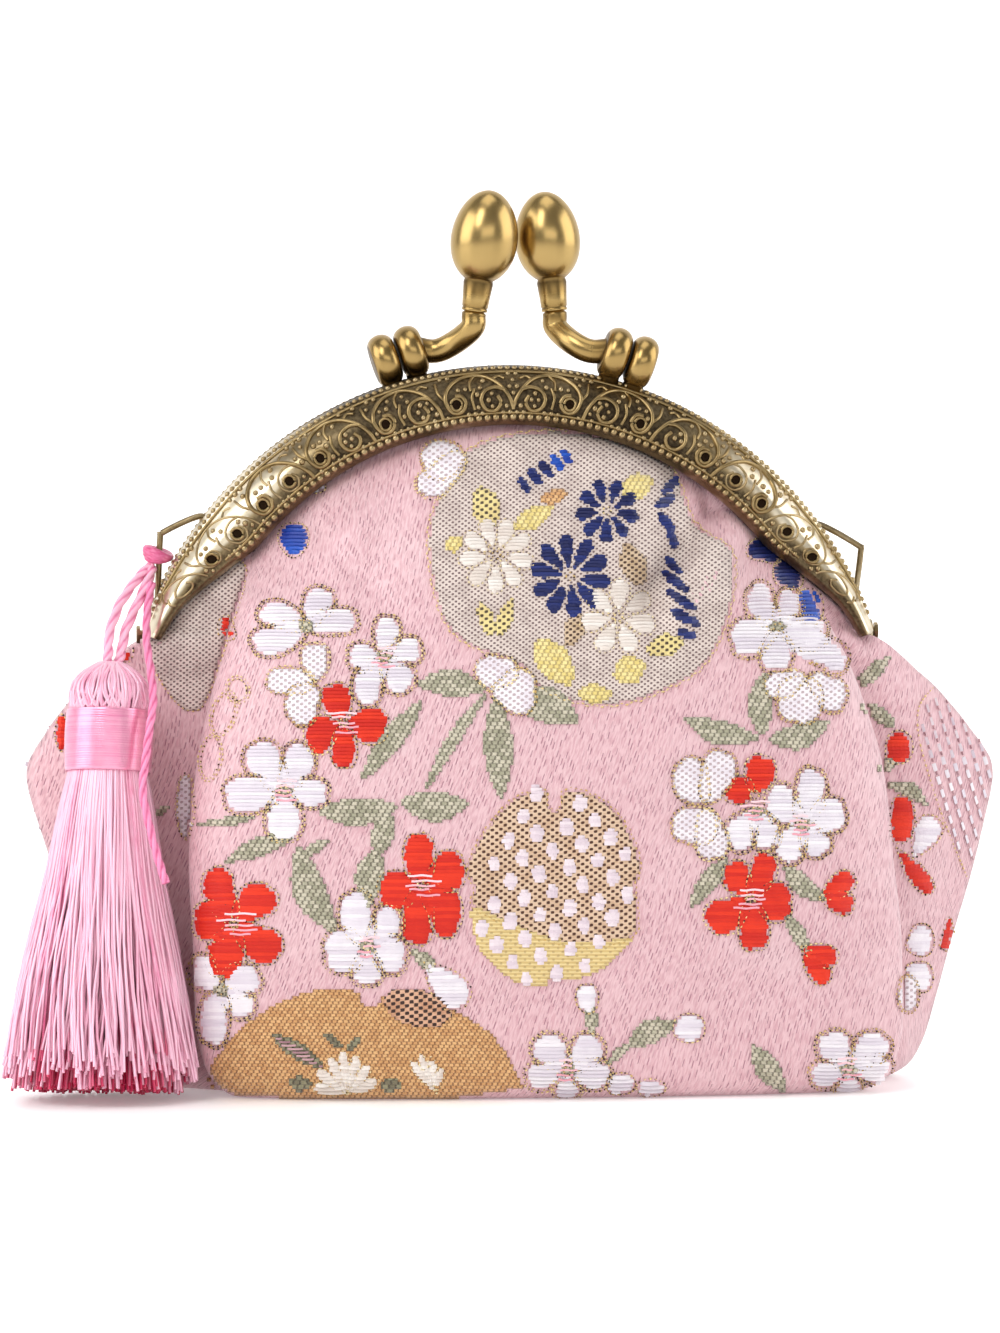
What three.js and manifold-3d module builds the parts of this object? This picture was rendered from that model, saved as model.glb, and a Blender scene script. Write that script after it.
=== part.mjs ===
import * as THREE from 'three';
import { mergeVertices } from 'three/addons/utils/BufferGeometryUtils.js';
import Module from 'manifold-3d';

const wasm = await Module();
wasm.setup();

// Coin purse: pink brocade body, half-round metal frame with a two-knob clasp, silk tassel.
// Millimetres, Z up, front faces -Y, the base rests on z = 0.

// Frame arms
const archRadius = 44.4;
const archCentreZ = 38.1;
const archEndDeg = 72;
const archSteps = 24;
const partingGap = 0.15;
const knuckleZ = 51.7;
const knuckleRadius = 1.4;
const pinRadius = 0.5;
const hingeSlot = [39.0, 43.4];
const frontKnuckle = [40.3, 41.1];
const backKnuckle = [41.4, 42.2];
const knuckleWebReach = 4.2;
const pinReach = [39.7, 42.8];
const innerHead = [39.6, 40.0];
const outerHead = [42.5, 42.9];
const headRadius = 1.0;
const clearance = 0.3;

// Cloth
const clothThickness = 1.0;
const clothEdgeRadius = 41.2;
const clothChannelDepth = 1.75;
const topLevel = archCentreZ + clothEdgeRadius;
const foldStartLevel = 66;
const seamGap = 0.15;
const bulgeRoundX = 2 / 2.5;
const bulgeRoundY = 2 / 2.1;
const bulgeSteps = 24;
const wingSteps = 30;
const valleyStep = 12;
const wingPuff = 0.06;
const wingTension = 0.45;

// Columns fan out from the middle of the frame's channel and settle to plumb lines below it
const fanDeg = 47.3;
const bulgeShare = 0.78;
const wingShare = 0.11;
const settleLevel = 47;
const spreadLevel = 60;
const mouthSlope = 1.15;

// Clasp
const turnRadius = 3.1;
const turnHalfWidth = 1.5;
const stemRadius = 1.4;
const stemPinRadius = 0.75;
const collarBore = 1.05;

// Ear loops and tassel
const loopWireRadius = 0.45;
const cordRadius = 0.6;
const tailRadius = 0.5;
const tasselTop = new THREE.Vector3(-46.4, -10.6, 49.0);
const tasselFoot = new THREE.Vector3(-48.3, -17.4, 0.9);
const bandRadius = 4.75;
const skirtFootRadius = 10.3;
const lockCount = 12;

const metal = new THREE.MeshStandardMaterial({ color: 0xa98d4c, metalness: 1.0, roughness: 0.38 });
const cloth = new THREE.MeshStandardMaterial({ color: 0xe6b3be, metalness: 0.0, roughness: 0.6 });
const silk = new THREE.MeshStandardMaterial({ color: 0xf3b4d3, metalness: 0.0, roughness: 0.45 });

// Inner edge of the arms by angle from the top
const armInner = [
  { deg: 0, radius: 37.6 },
  { deg: 50, radius: 37.6 },
  { deg: 57, radius: 38.8 },
  { deg: 62, radius: 40.2 },
  { deg: 67, radius: 41.6 },
  { deg: 73, radius: 42.5 },
];

// Face of an arm across its width, with a raised rib along each edge: share of the width from the
// outer edge, depth from the parting plane
const armFace = [
  { share: 0.0, depth: 0.9 },
  { share: 0.03, depth: 2.1 },
  { share: 0.08, depth: 2.7 },
  { share: 0.13, depth: 2.65 },
  { share: 0.28, depth: 3.95 },
  { share: 0.45, depth: 4.75 },
  { share: 0.62, depth: 4.95 },
  { share: 0.77, depth: 4.75 },
  { share: 0.81, depth: 5.15 },
  { share: 0.88, depth: 5.05 },
  { share: 0.93, depth: 4.35 },
  { share: 1.0, depth: 3.6 },
];

// Channel side of the same face
const armChannel = [
  { share: 1.0, depth: 2.9 },
  { share: 0.75, depth: 4.0 },
  { share: 0.45, depth: 4.0 },
  { share: 0.25, depth: 3.0 },
  { share: 0.14, depth: 1.6 },
];

// Cloth sections from the bottom seam (lowest level) to the frame, right half; depths are forward of y = 0
const wallRows = [
  { level: -19.5, z: 0.5, front: 0.15, foldX: 25.0, foldY: 0.15, valleyX: 27.0, valleyY: 0.15, lean: 0.0 },
  { level: -12.0, z: 0.5, front: 8.0, foldX: 29.5, foldY: 5.4, valleyX: 30.2, valleyY: 3.8, lean: 1.5 },
  { level: -5.0, z: 0.5, front: 15.3, foldX: 33.2, foldY: 10.3, valleyX: 33.2, valleyY: 7.3, lean: 2.8 },
  { level: 0.0, z: 0.5, front: 20.0, foldX: 35.8, foldY: 13.6, valleyX: 35.4, valleyY: 9.6, lean: 3.5 },
  { level: 2.5, z: 1.6, front: 22.2, foldX: 37.6, foldY: 15.4, valleyX: 36.7, valleyY: 10.6, lean: 3.6 },
  { level: 5.0, z: 4.2, front: 23.5, foldX: 39.1, foldY: 16.5, valleyX: 36.8, valleyY: 10.2, lean: 3.4 },
  { level: 9.0, z: 9.0, front: 24.3, foldX: 39.9, foldY: 16.9, valleyX: 36.8, valleyY: 9.6, lean: 3.2 },
  { level: 18.0, z: 18.0, front: 24.9, foldX: 39.9, foldY: 16.8, valleyX: 36.4, valleyY: 9.2, lean: 2.9 },
  { level: 28.0, z: 28.0, front: 24.4, foldX: 39.6, foldY: 15.8, valleyX: 35.4, valleyY: 8.6, lean: 2.2 },
  { level: 37.0, z: 37.0, front: 23.0, foldX: 38.7, foldY: 14.2, valleyX: 33.9, valleyY: 7.6, lean: 2.2 },
  { level: 44.0, z: 44.0, front: 21.3, foldX: 37.0, foldY: 12.4, valleyX: 32.4, valleyY: 6.4, lean: 2.1 },
  { level: 50.0, z: 50.0, front: 19.4, foldX: 35.0, foldY: 10.2, valleyX: 31.0, valleyY: 5.2, lean: 2.0 },
  { level: 56.0, z: 56.0, front: 16.9, foldX: 32.5, foldY: 7.4, valleyX: 30.0, valleyY: 4.2, lean: 1.7 },
  { level: 62.0, z: 62.0, front: 14.0, foldX: 29.9, foldY: 3.8, valleyX: 30.0, valleyY: 3.0, lean: 1.0 },
  { level: 66.0, z: 66.0, front: 11.3, foldX: 30.25, foldY: 1.75, valleyX: 30.28, valleyY: 1.75, lean: 0.6 },
  { level: 70.0, z: 70.0, front: 7.9, foldX: 30.3, foldY: 1.75, valleyX: 30.3, valleyY: 1.75, lean: 0.3 },
  { level: 73.0, z: 73.0, front: 4.7, foldX: 30.3, foldY: 1.75, valleyX: 30.3, valleyY: 1.75, lean: 0.1 },
  { level: 75.0, z: 75.0, front: 2.6, foldX: 30.3, foldY: 1.75, valleyX: 30.3, valleyY: 1.75, lean: 0.0 },
  { level: 77.0, z: 77.0, front: 1.8, foldX: 30.3, foldY: 1.75, valleyX: 30.3, valleyY: 1.75, lean: 0.0 },
  { level: 79.4, z: 79.4, front: 1.75, foldX: 30.3, foldY: 1.75, valleyX: 30.3, valleyY: 1.75, lean: 0.0 },
];

// Free edge of the cloth below the arm ends: shoulder, wing tip, side seam, bottom seam
const seamRows = [
  { level: -19.5, x: 33.5, depth: 0.15 },
  { level: -12.0, x: 37.0, depth: 0.15 },
  { level: -5.0, x: 40.5, depth: 0.2 },
  { level: 0.0, x: 43.2, depth: 0.4 },
  { level: 2.5, x: 45.4, depth: 0.6 },
  { level: 5.0, x: 46.9, depth: 0.65 },
  { level: 9.0, x: 48.4, depth: 0.65 },
  { level: 15.8, x: 50.3, depth: 0.65 },
  { level: 22.7, x: 52.4, depth: 0.65 },
  { level: 29.6, x: 54.4, depth: 0.65 },
  { level: 33.8, x: 55.5, depth: 0.65 },
  { level: 35.2, x: 55.7, depth: 0.65 },
  { level: 36.4, x: 55.6, depth: 0.65 },
  { level: 38.2, x: 54.7, depth: 0.65 },
  { level: 39.9, x: 53.5, depth: 0.65 },
  { level: 41.6, x: 52.3, depth: 0.65 },
  { level: 43.4, x: 50.8, depth: 0.65 },
  { level: 45.0, x: 49.4, depth: 0.65 },
  { level: 46.8, x: 47.3, depth: 0.7 },
  { level: 48.2, x: 45.7, depth: 1.4 },
  { level: 49.1, x: 44.2, depth: 2.1 },
  { level: 49.7, x: 42.9, depth: 2.35 },
  { level: 50.1, x: 41.2, depth: 2.4 },
  { level: 50.5, x: 39.8, depth: 2.3 },
  { level: 51.2, x: 38.7, depth: 2.0 },
  { level: 51.9, x: 38.45, depth: 1.8 },
  { level: 52.3, x: 38.67, depth: 1.75 },
];

// The wings stand a little to the right as a pair, most at half their height
const wingLeanRows = [
  { level: -19.5, shift: 0.0 },
  { level: 0.0, shift: 0.5 },
  { level: 6.0, shift: 0.9 },
  { level: 22.0, shift: 0.9 },
  { level: 33.0, shift: 0.5 },
  { level: 46.0, shift: 0.0 },
  { level: 79.4, shift: 0.0 },
];

// Soft dents in the front cloth: a line on the front, how deep and how wide
const frontDents = [
  { x0: 24.0, z0: 67.0, x1: 14.0, z1: 56.5, depth: 2.0, width: 2.2 },
  { x0: 28.0, z0: 62.5, x1: 20.0, z1: 53.0, depth: -0.9, width: 2.4 },
  { x0: -14.0, z0: 71.0, x1: -17.0, z1: 58.0, depth: 0.7, width: 2.6 },
  { x0: 3.0, z0: 73.0, x1: 2.0, z1: 63.0, depth: 0.5, width: 2.2 },
  { x0: -30.0, z0: 16.0, x1: -12.0, z1: 9.0, depth: 0.8, width: 4.0 },
  { x0: 22.0, z0: 12.0, x1: 37.0, z1: 20.0, depth: 0.8, width: 4.0 },
];
const backDents = [
  { x0: -22.0, z0: 67.0, x1: -13.0, z1: 55.0, depth: 1.1, width: 2.4 },
  { x0: 10.0, z0: 72.0, x1: 13.0, z1: 58.0, depth: 0.7, width: 2.6 },
  { x0: -20.0, z0: 11.0, x1: 4.0, z1: 8.0, depth: 0.8, width: 4.0 },
];

// Levels of the cloth rows at the middle of the panel
const rowLevels = [
  topLevel, 77.4, 75.6, 74.0, 72.0, 69.2, 65.6, 61.6, 57.4, 53.0, 49.0, 45.0, 40.6, 36.0,
  29.0, 21.0, 13.0, 6.5, 3.0, 0.4, -9.0, -19.5,
];
const bulgeColumns = 14;
const overhangColumns = 2;
const wingColumns = 3;

// Monotone curve through one column of a table
function tableCurve(rows, key, value) {
  const xs = rows.map((row) => row[key]);
  const ys = rows.map((row) => row[value]);
  const count = xs.length;
  const secants = [];
  for (let i = 0; i < count - 1; i += 1) {
    secants.push((ys[i + 1] - ys[i]) / (xs[i + 1] - xs[i]));
  }
  const slopes = [secants[0]];
  for (let i = 1; i < count - 1; i += 1) {
    const same = secants[i - 1] * secants[i] > 0;
    slopes.push(same ? (2 * secants[i - 1] * secants[i]) / (secants[i - 1] + secants[i]) : 0);
  }
  slopes.push(secants[count - 2]);
  return (x) => {
    const at = Math.min(Math.max(x, xs[0]), xs[count - 1]);
    let i = 0;
    while (i < count - 2 && at > xs[i + 1]) {
      i += 1;
    }
    const step = xs[i + 1] - xs[i];
    const t = (at - xs[i]) / step;
    const a = (1 + 2 * t) * (1 - t) * (1 - t) * ys[i] + t * (1 - t) * (1 - t) * step * slopes[i];
    const b = t * t * (3 - 2 * t) * ys[i + 1] + t * t * (t - 1) * step * slopes[i + 1];
    return a + b;
  };
}

function smooth(from, to, x) {
  const t = Math.min(Math.max((x - from) / (to - from), 0), 1);
  return t * t * (3 - 2 * t);
}

function softMin(a, b, width) {
  const h = Math.max(width - Math.abs(a - b), 0) / width;
  return Math.min(a, b) - (h * h * width) / 4;
}

// Mesh helpers
function meshGeometry(points, triangles) {
  const geometry = new THREE.BufferGeometry();
  geometry.setAttribute('position', new THREE.Float32BufferAttribute(points.flat(), 3));
  geometry.setIndex(triangles.flat());
  return geometry;
}

function outwards(geometry) {
  const index = geometry.index.array;
  const pos = geometry.attributes.position;
  let volume = 0;
  const p = [new THREE.Vector3(), new THREE.Vector3(), new THREE.Vector3()];
  for (let i = 0; i < index.length; i += 3) {
    p.forEach((v, k) => v.fromBufferAttribute(pos, index[i + k]));
    volume += p[0].dot(p[1].clone().cross(p[2])) / 6;
  }
  if (volume < 0) {
    for (let i = 0; i < index.length; i += 3) {
      [index[i + 1], index[i + 2]] = [index[i + 2], index[i + 1]];
    }
  }
  return geometry;
}

function toSolid(geometry) {
  const bare = geometry.clone();
  bare.deleteAttribute('normal');
  bare.deleteAttribute('uv');
  const merged = mergeVertices(bare, 1e-3);
  const index = Array.from(merged.index.array);
  const kept = [];
  for (let i = 0; i < index.length; i += 3) {
    const [a, b, c] = [index[i], index[i + 1], index[i + 2]];
    if (a !== b && b !== c && c !== a) {
      kept.push(a, b, c);
    }
  }
  const mesh = new wasm.Mesh({
    numProp: 3,
    vertProperties: new Float32Array(merged.attributes.position.array),
    triVerts: new Uint32Array(kept),
  });
  return new wasm.Manifold(mesh);
}

function fromSolid(solid) {
  const mesh = solid.getMesh();
  const geometry = new THREE.BufferGeometry();
  geometry.setAttribute('position', new THREE.Float32BufferAttribute(mesh.vertProperties, 3));
  geometry.setIndex(Array.from(mesh.triVerts));
  return geometry;
}

function joined(geometries) {
  let solid = toSolid(geometries[0]);
  for (const geometry of geometries.slice(1)) {
    solid = solid.add(toSolid(geometry));
  }
  return solid;
}

function lathe(profile, sides) {
  return new THREE.LatheGeometry(profile.map(([r, h]) => new THREE.Vector2(r, h)), sides);
}

// Turn a lathe's +Y axis to a direction and set it at a point
function placed(geometry, point, direction) {
  const turn = new THREE.Quaternion();
  turn.setFromUnitVectors(new THREE.Vector3(0, 1, 0), direction.clone().normalize());
  const copy = geometry.clone();
  copy.applyQuaternion(turn);
  copy.translate(point.x, point.y, point.z);
  return copy;
}

function roundTube(points, radius, steps, sides = 8) {
  const shape = new THREE.Shape();
  for (let i = 0; i < sides; i += 1) {
    const a = (2 * Math.PI * i) / sides;
    if (i === 0) {
      shape.moveTo(radius * Math.cos(a), radius * Math.sin(a));
    } else {
      shape.lineTo(radius * Math.cos(a), radius * Math.sin(a));
    }
  }
  shape.closePath();
  const path = new THREE.CatmullRomCurve3(points, false, 'centripetal');
  return new THREE.ExtrudeGeometry(shape, { steps, extrudePath: path, bevelEnabled: false });
}

function box(x0, x1, y0, y1, z0, z1) {
  const geometry = new THREE.BoxGeometry(x1 - x0, y1 - y0, z1 - z0);
  geometry.translate((x0 + x1) / 2, (y0 + y1) / 2, (z0 + z1) / 2);
  return geometry;
}

function rodAlongX(x0, x1, radius, z, sides = 10) {
  const geometry = new THREE.CylinderGeometry(radius, radius, x1 - x0, sides);
  geometry.rotateZ(Math.PI / 2);
  geometry.translate((x0 + x1) / 2, 0, z);
  return geometry;
}

// Frame arm: the channel section swept along the arch, side -1 is the front
const innerRadius = tableCurve(armInner, 'deg', 'radius');

function armSection(deg) {
  const inner = innerRadius(Math.abs(deg));
  const width = archRadius - inner;
  const ends = 1 - 0.06 * smooth(50, 72, Math.abs(deg));
  const section = [[archRadius - 0.5, partingGap]];
  for (const row of armFace) {
    section.push([archRadius - row.share * width, row.depth * ends]);
  }
  for (const row of armChannel) {
    section.push([archRadius - row.share * width - (row.share < 0.2 ? 0.1 : 0), row.depth * ends]);
  }
  section.push([archRadius - 0.75 - 0.02 * width, 0.8]);
  section.push([archRadius - 0.75 * width, 0.8]);
  section.push([archRadius - 0.75 * width, partingGap]);
  return section;
}

function armSweep(side) {
  const points = [];
  const triangles = [];
  const flip = (a, b, c) => (side < 0 ? [a, c, b] : [a, b, c]);
  let count = 0;
  for (let i = 0; i <= archSteps; i += 1) {
    const deg = -archEndDeg + (2 * archEndDeg * i) / archSteps;
    const a = THREE.MathUtils.degToRad(deg);
    const section = armSection(deg);
    count = section.length;
    for (const [r, d] of section) {
      points.push([r * Math.sin(a), side * d, archCentreZ + r * Math.cos(a)]);
    }
  }
  for (let i = 0; i < archSteps; i += 1) {
    for (let j = 0; j < count; j += 1) {
      const a = i * count + j;
      const b = i * count + ((j + 1) % count);
      const c = a + count;
      const d = b + count;
      triangles.push(flip(a, b, d), flip(a, d, c));
    }
  }
  const outline = armSection(archEndDeg).map(([r, d]) => new THREE.Vector2(r, d));
  const last = archSteps * count;
  const turn = Math.sign(THREE.ShapeUtils.area(outline));
  for (const [a, b, c] of THREE.ShapeUtils.triangulateShape(outline, [])) {
    const same = turn * THREE.ShapeUtils.area([outline[a], outline[b], outline[c]]) > 0;
    const [p, q] = same ? [b, c] : [c, b];
    triangles.push(flip(a, q, p));
    triangles.push(flip(last + a, last + p, last + q));
  }
  return outwards(meshGeometry(points, triangles));
}

function turnedDisc() {
  const profile = [[0, -turnHalfWidth]];
  for (let i = 0; i <= 5; i += 1) {
    const a = -Math.PI / 2 + (Math.PI * i) / 5;
    profile.push([turnRadius - 1.2 + 1.2 * Math.cos(a), turnHalfWidth * Math.sin(a)]);
  }
  profile.push([0, turnHalfWidth]);
  return lathe(profile, 10);
}

// Clasp knobs: where the collar starts, where the egg's middle is, egg size, coil turns and stem points
const clasps = {
  right: {
    arm: -1,
    collar: new THREE.Vector3(5.45, 1.35, 88.7),
    egg: new THREE.Vector3(4.65, 1.65, 97.2),
    eggRadius: 3.75,
    eggHalf: 5.25,
    turns: [new THREE.Vector3(12.1, -1.7, 83.8), new THREE.Vector3(15.1, -1.7, 82.8)],
    stem: [[12.0, -1.7, 84.3], [9.4, -1.5, 84.1], [7.3, -0.6, 85.1]],
  },
  left: {
    arm: 1,
    collar: new THREE.Vector3(-4.1, -1.35, 88.7),
    egg: new THREE.Vector3(-2.95, -1.65, 97.2),
    eggRadius: 3.85,
    eggHalf: 5.4,
    turns: [new THREE.Vector3(-11.1, 1.7, 84.0), new THREE.Vector3(-14.1, 1.7, 83.0)],
    stem: [[-11.0, 1.7, 84.5], [-8.4, 1.5, 84.1], [-6.2, 0.6, 85.1]],
  },
};

function claspParts(clasp) {
  const parts = [];
  const disc = turnedDisc();
  const along = clasp.turns[1].clone().sub(clasp.turns[0]);
  for (const turn of clasp.turns) {
    parts.push(placed(disc, turn, along));
    const foot = new THREE.Vector3(turn.x, 0, turn.z - archCentreZ).normalize();
    const rod = lathe([[0, 0], [1.2, 0], [1.2, 4.4], [0, 4.4]], 8);
    const base = foot.clone().multiplyScalar(archRadius - 0.55);
    parts.push(placed(rod, new THREE.Vector3(base.x, clasp.arm * 1.7, archCentreZ + base.z), foot));
  }
  const stem = clasp.stem.map(([x, y, z]) => new THREE.Vector3(x, y, z));
  const axis = clasp.egg.clone().sub(clasp.collar).normalize();
  const end = clasp.collar.clone().addScaledVector(axis, -0.45);
  stem.push(clasp.collar.clone().addScaledVector(axis, -1.9), end);
  parts.push(roundTube(stem, stemRadius, 8));
  const pin = lathe([[0, -0.6], [stemPinRadius, -0.6], [stemPinRadius, 2.4], [0, 2.4]], 8);
  parts.push(placed(pin, end, axis));
  return parts;
}

function knob(clasp) {
  const length = clasp.egg.distanceTo(clasp.collar);
  const axis = clasp.egg.clone().sub(clasp.collar);
  const profile = [[0, 0], [1.42, 0], [1.5, 0.9], [1.7, 3.4]];
  for (let i = 2; i <= 11; i += 1) {
    const a = -Math.PI / 2 + (Math.PI * i) / 12;
    const fuller = 1 - 0.07 * Math.sin(a);
    profile.push([clasp.eggRadius * Math.cos(a) * fuller * 0.985, length + clasp.eggHalf * Math.sin(a)]);
  }
  profile.push([0, length + clasp.eggHalf]);
  const solid = toSolid(placed(lathe(profile, 14), clasp.collar, axis));
  const bore = lathe([[0, -1], [collarBore, -1], [collarBore, 2.8], [0, 2.8]], 8);
  return fromSolid(solid.subtract(toSolid(placed(bore, clasp.collar, axis))));
}

// Ear loops: bent wire soldered to the rim of the back arm
const earLoops = [
  [[34.9, 1.0, 63.3], [36.3, 1.0, 64.0], [40.9, 1.0, 61.5], [41.1, 1.0, 60.8], [40.4, 1.0, 55.2]],
  [[-34.3, 1.0, 64.2], [-35.6, 1.0, 65.2], [-39.7, 1.0, 63.4], [-40.1, 1.0, 62.6], [-40.4, 1.0, 55.4]],
];

function arm(side) {
  let solid = toSolid(armSweep(side));
  for (const end of [-1, 1]) {
    const reach = (x0, x1) => (end > 0 ? [x0, x1] : [-x1, -x0]);
    solid = solid.subtract(toSolid(rodAlongX(...reach(...hingeSlot), knuckleRadius + clearance, knuckleZ)));
    const [k0, k1] = reach(...(side < 0 ? frontKnuckle : backKnuckle));
    const far = side < 0 ? -knuckleWebReach : 0.9;
    const near = side < 0 ? -0.9 : knuckleWebReach;
    solid = solid.add(toSolid(rodAlongX(k0, k1, knuckleRadius, knuckleZ)));
    solid = solid.add(toSolid(box(k0, k1, far, near, knuckleZ - 0.6, knuckleZ + 0.7)));
    solid = solid.subtract(toSolid(rodAlongX(...reach(...hingeSlot), pinRadius + clearance, knuckleZ)));
  }
  const clasp = side < 0 ? clasps.right : clasps.left;
  for (const part of claspParts(clasp)) {
    solid = solid.add(toSolid(part));
  }
  if (side > 0) {
    for (const loop of earLoops) {
      const points = loop.map(([x, y, z]) => new THREE.Vector3(x, y, z));
      solid = solid.add(toSolid(roundTube(points, loopWireRadius, 8, 6)));
    }
  }
  return fromSolid(solid);
}

function rivet(end) {
  const reach = (x0, x1) => (end > 0 ? [x0, x1] : [-x1, -x0]);
  const pin = rodAlongX(...reach(...pinReach), pinRadius, knuckleZ, 8);
  const inner = rodAlongX(...reach(...innerHead), headRadius, knuckleZ, 8);
  const outer = rodAlongX(...reach(...outerHead), headRadius, knuckleZ, 8);
  return fromSolid(joined([pin, inner, outer]));
}

// Cloth sections
const wall = {};
for (const name of ['z', 'front', 'foldX', 'foldY', 'valleyX', 'valleyY', 'lean']) {
  wall[name] = tableCurve(wallRows, 'level', name);
}
const seamX = tableCurve(seamRows, 'level', 'x');
const seamDepth = tableCurve(seamRows, 'level', 'depth');
const wingLean = tableCurve(wingLeanRows, 'level', 'shift');

function archHalf(level) {
  const up = Math.min(level - archCentreZ, clothEdgeRadius);
  return Math.sqrt(Math.max(clothEdgeRadius * clothEdgeRadius - up * up, 1e-6));
}

function endOf(level) {
  if (level > 52.3) {
    return [archHalf(level), clothChannelDepth];
  }
  return [seamX(level), seamDepth(level)];
}

// Right half of the section at a level: points from the middle out, with the run of length and the stations
function halfSection(level, depthScale) {
  const [endX, endY] = endOf(level);
  const above = level >= foldStartLevel;
  const foldX = above ? endX : Math.min(wall.foldX(level), endX);
  const foldY = above ? endY : wall.foldY(level);
  const front = Math.max(wall.front(level) * depthScale, Math.min(foldY, wall.front(level)));
  const points = [];
  for (let i = 0; i <= bulgeSteps; i += 1) {
    const a = (Math.PI / 2) * (i / bulgeSteps);
    const depth = foldY + (front - foldY) * Math.cos(a) ** bulgeRoundY;
    points.push([foldX * Math.sin(a) ** bulgeRoundX, depth]);
  }
  if (!above) {
    const valleyX = Math.min(wall.valleyX(level), endX);
    const valleyY = wall.valleyY(level);
    const wing = (t, sag) => [valleyX + (endX - valleyX) * t, valleyY + (endY - valleyY) * t + sag];
    const puff = wingPuff * (endX - valleyX);
    const guide = [
      [foldX, foldY],
      [foldX + 0.3 * (valleyX - foldX), foldY + 0.55 * (valleyY - foldY)],
      [valleyX, valleyY],
      wing(0.22, 0.1 * puff),
      wing(0.6, puff),
      [endX, endY],
    ].map(([x, y]) => new THREE.Vector3(x, y, 0));
    const curve = new THREE.CatmullRomCurve3(guide, false, 'catmullrom', wingTension);
    for (let i = 1; i <= wingSteps; i += 1) {
      const p = curve.getPoint(i / wingSteps);
      points.push([p.x, p.y]);
    }
  }
  const run = [0];
  for (let i = 1; i < points.length; i += 1) {
    run.push(run[i - 1] + Math.hypot(points[i][0] - points[i - 1][0], points[i][1] - points[i - 1][1]));
  }
  const total = run[run.length - 1];
  const foldRun = run[bulgeSteps];
  const valleyRun = above ? foldRun : run[bulgeSteps + valleyStep];
  return { points, run, total, foldRun, valleyRun };
}

function alongSection(section, at) {
  const want = Math.min(Math.max(at, 0), section.total);
  let i = 0;
  while (i < section.run.length - 2 && want > section.run[i + 1]) {
    i += 1;
  }
  const span = Math.max(section.run[i + 1] - section.run[i], 1e-9);
  const t = (want - section.run[i]) / span;
  const [a, b] = [section.points[i], section.points[i + 1]];
  return [a[0] + (b[0] - a[0]) * t, a[1] + (b[1] - a[1]) * t];
}

// Most forward place of the cloth where it comes out of the frame's mouth
function mouthDepth(x, z) {
  const radius = Math.hypot(x, z - archCentreZ);
  const deg = THREE.MathUtils.radToDeg(Math.atan2(Math.abs(x), z - archCentreZ));
  const inside = innerRadius(Math.min(deg, 73)) - radius;
  const below = Math.max(deg - 71, 0) * 0.6;
  return clothChannelDepth + mouthSlope * Math.max(inside - 0.3, 0) + below;
}

function gathers(x, z) {
  const radius = Math.hypot(x, z - archCentreZ);
  const angle = Math.atan2(x, z - archCentreZ);
  const inside = Math.max(38 - radius, 0);
  const fade = Math.exp(-inside / 6) * smooth(0.5, 3.5, inside) * smooth(44, 56, z);
  return fade * (0.42 * Math.sin(19 * angle + 0.6) + 0.3 * Math.sin(31 * angle + 2.1));
}

function dentDepth(dents, x, z) {
  let sum = 0;
  for (const dent of dents) {
    const dx = dent.x1 - dent.x0;
    const dz = dent.z1 - dent.z0;
    const t = ((x - dent.x0) * dx + (z - dent.z0) * dz) / (dx * dx + dz * dz);
    const on = Math.min(Math.max(t, 0), 1);
    const away = Math.hypot(x - dent.x0 - on * dx, z - dent.z0 - on * dz) / dent.width;
    sum += dent.depth * Math.exp(-away * away);
  }
  return sum;
}

// Columns of a panel from its left end to its right end, as stations 0 to 3 on each half
function columnStations() {
  const right = [];
  for (let i = 0; i <= bulgeColumns / 2; i += 1) {
    right.push(i / (bulgeColumns / 2));
  }
  for (let i = 1; i <= overhangColumns; i += 1) {
    right.push(1 + i / overhangColumns);
  }
  for (let i = 1; i <= wingColumns; i += 1) {
    right.push(2 + i / wingColumns);
  }
  const left = right.slice(1).reverse().map((s) => -s);
  return [...left, ...right];
}

function stationRun(section, station) {
  if (station <= 1) {
    return station * section.foldRun;
  }
  if (station <= 2) {
    return section.foldRun + (station - 1) * (section.valleyRun - section.foldRun);
  }
  return section.valleyRun + (station - 2) * (section.total - section.valleyRun);
}

function panelPoint(station, rowLevel, look) {
  const sign = Math.sign(station);
  const s = Math.abs(station);
  const share = s <= 1 ? bulgeShare * s : bulgeShare + wingShare * (s - 1);
  const topDeg = fanDeg * share;
  const archLevel = archCentreZ + clothEdgeRadius * Math.cos(THREE.MathUtils.degToRad(topDeg));
  const settle = smooth(topLevel, settleLevel, rowLevel);
  const level = rowLevel - (topLevel - archLevel) * (1 - settle);
  const section = halfSection(level, look.depthScale);
  const topRun = halfSection(archLevel, look.depthScale).total;
  const hung = topRun + share ** 3 * (section.total - topRun);
  const blend = smooth(topLevel, spreadLevel, rowLevel);
  const at = (1 - blend) * hung + blend * stationRun(section, s);
  const [x, depth] = alongSection(section, s === 0 ? 0 : at);
  const z = wall.z(level);
  const across = section.total > 0 ? Math.min(at / section.total, 1) : 0;
  const outer = s === 0 ? 0 : across ** 6;
  const px = sign * x + look.lean * wall.lean(level) * (1 - outer) + wingLean(level) * outer;
  let d = depth;
  if (z > 44) {
    d = softMin(d, mouthDepth(px, z) + 3.2 * (1 - smooth(44, 49, z)) * 4, 0.5);
  }
  if (level > 3) {
    const soft = smooth(0.8, 5, d) * (1 - smooth(1.0, 1.7, s)) * smooth(3, 9, level);
    d += soft * (gathers(px, z) - dentDepth(look.dents, px, z));
  }
  if (z > 44) {
    d = Math.max(d, endOf(level)[1] - 0.05);
  }
  return new THREE.Vector3(px, look.side * d, z);
}

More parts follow.
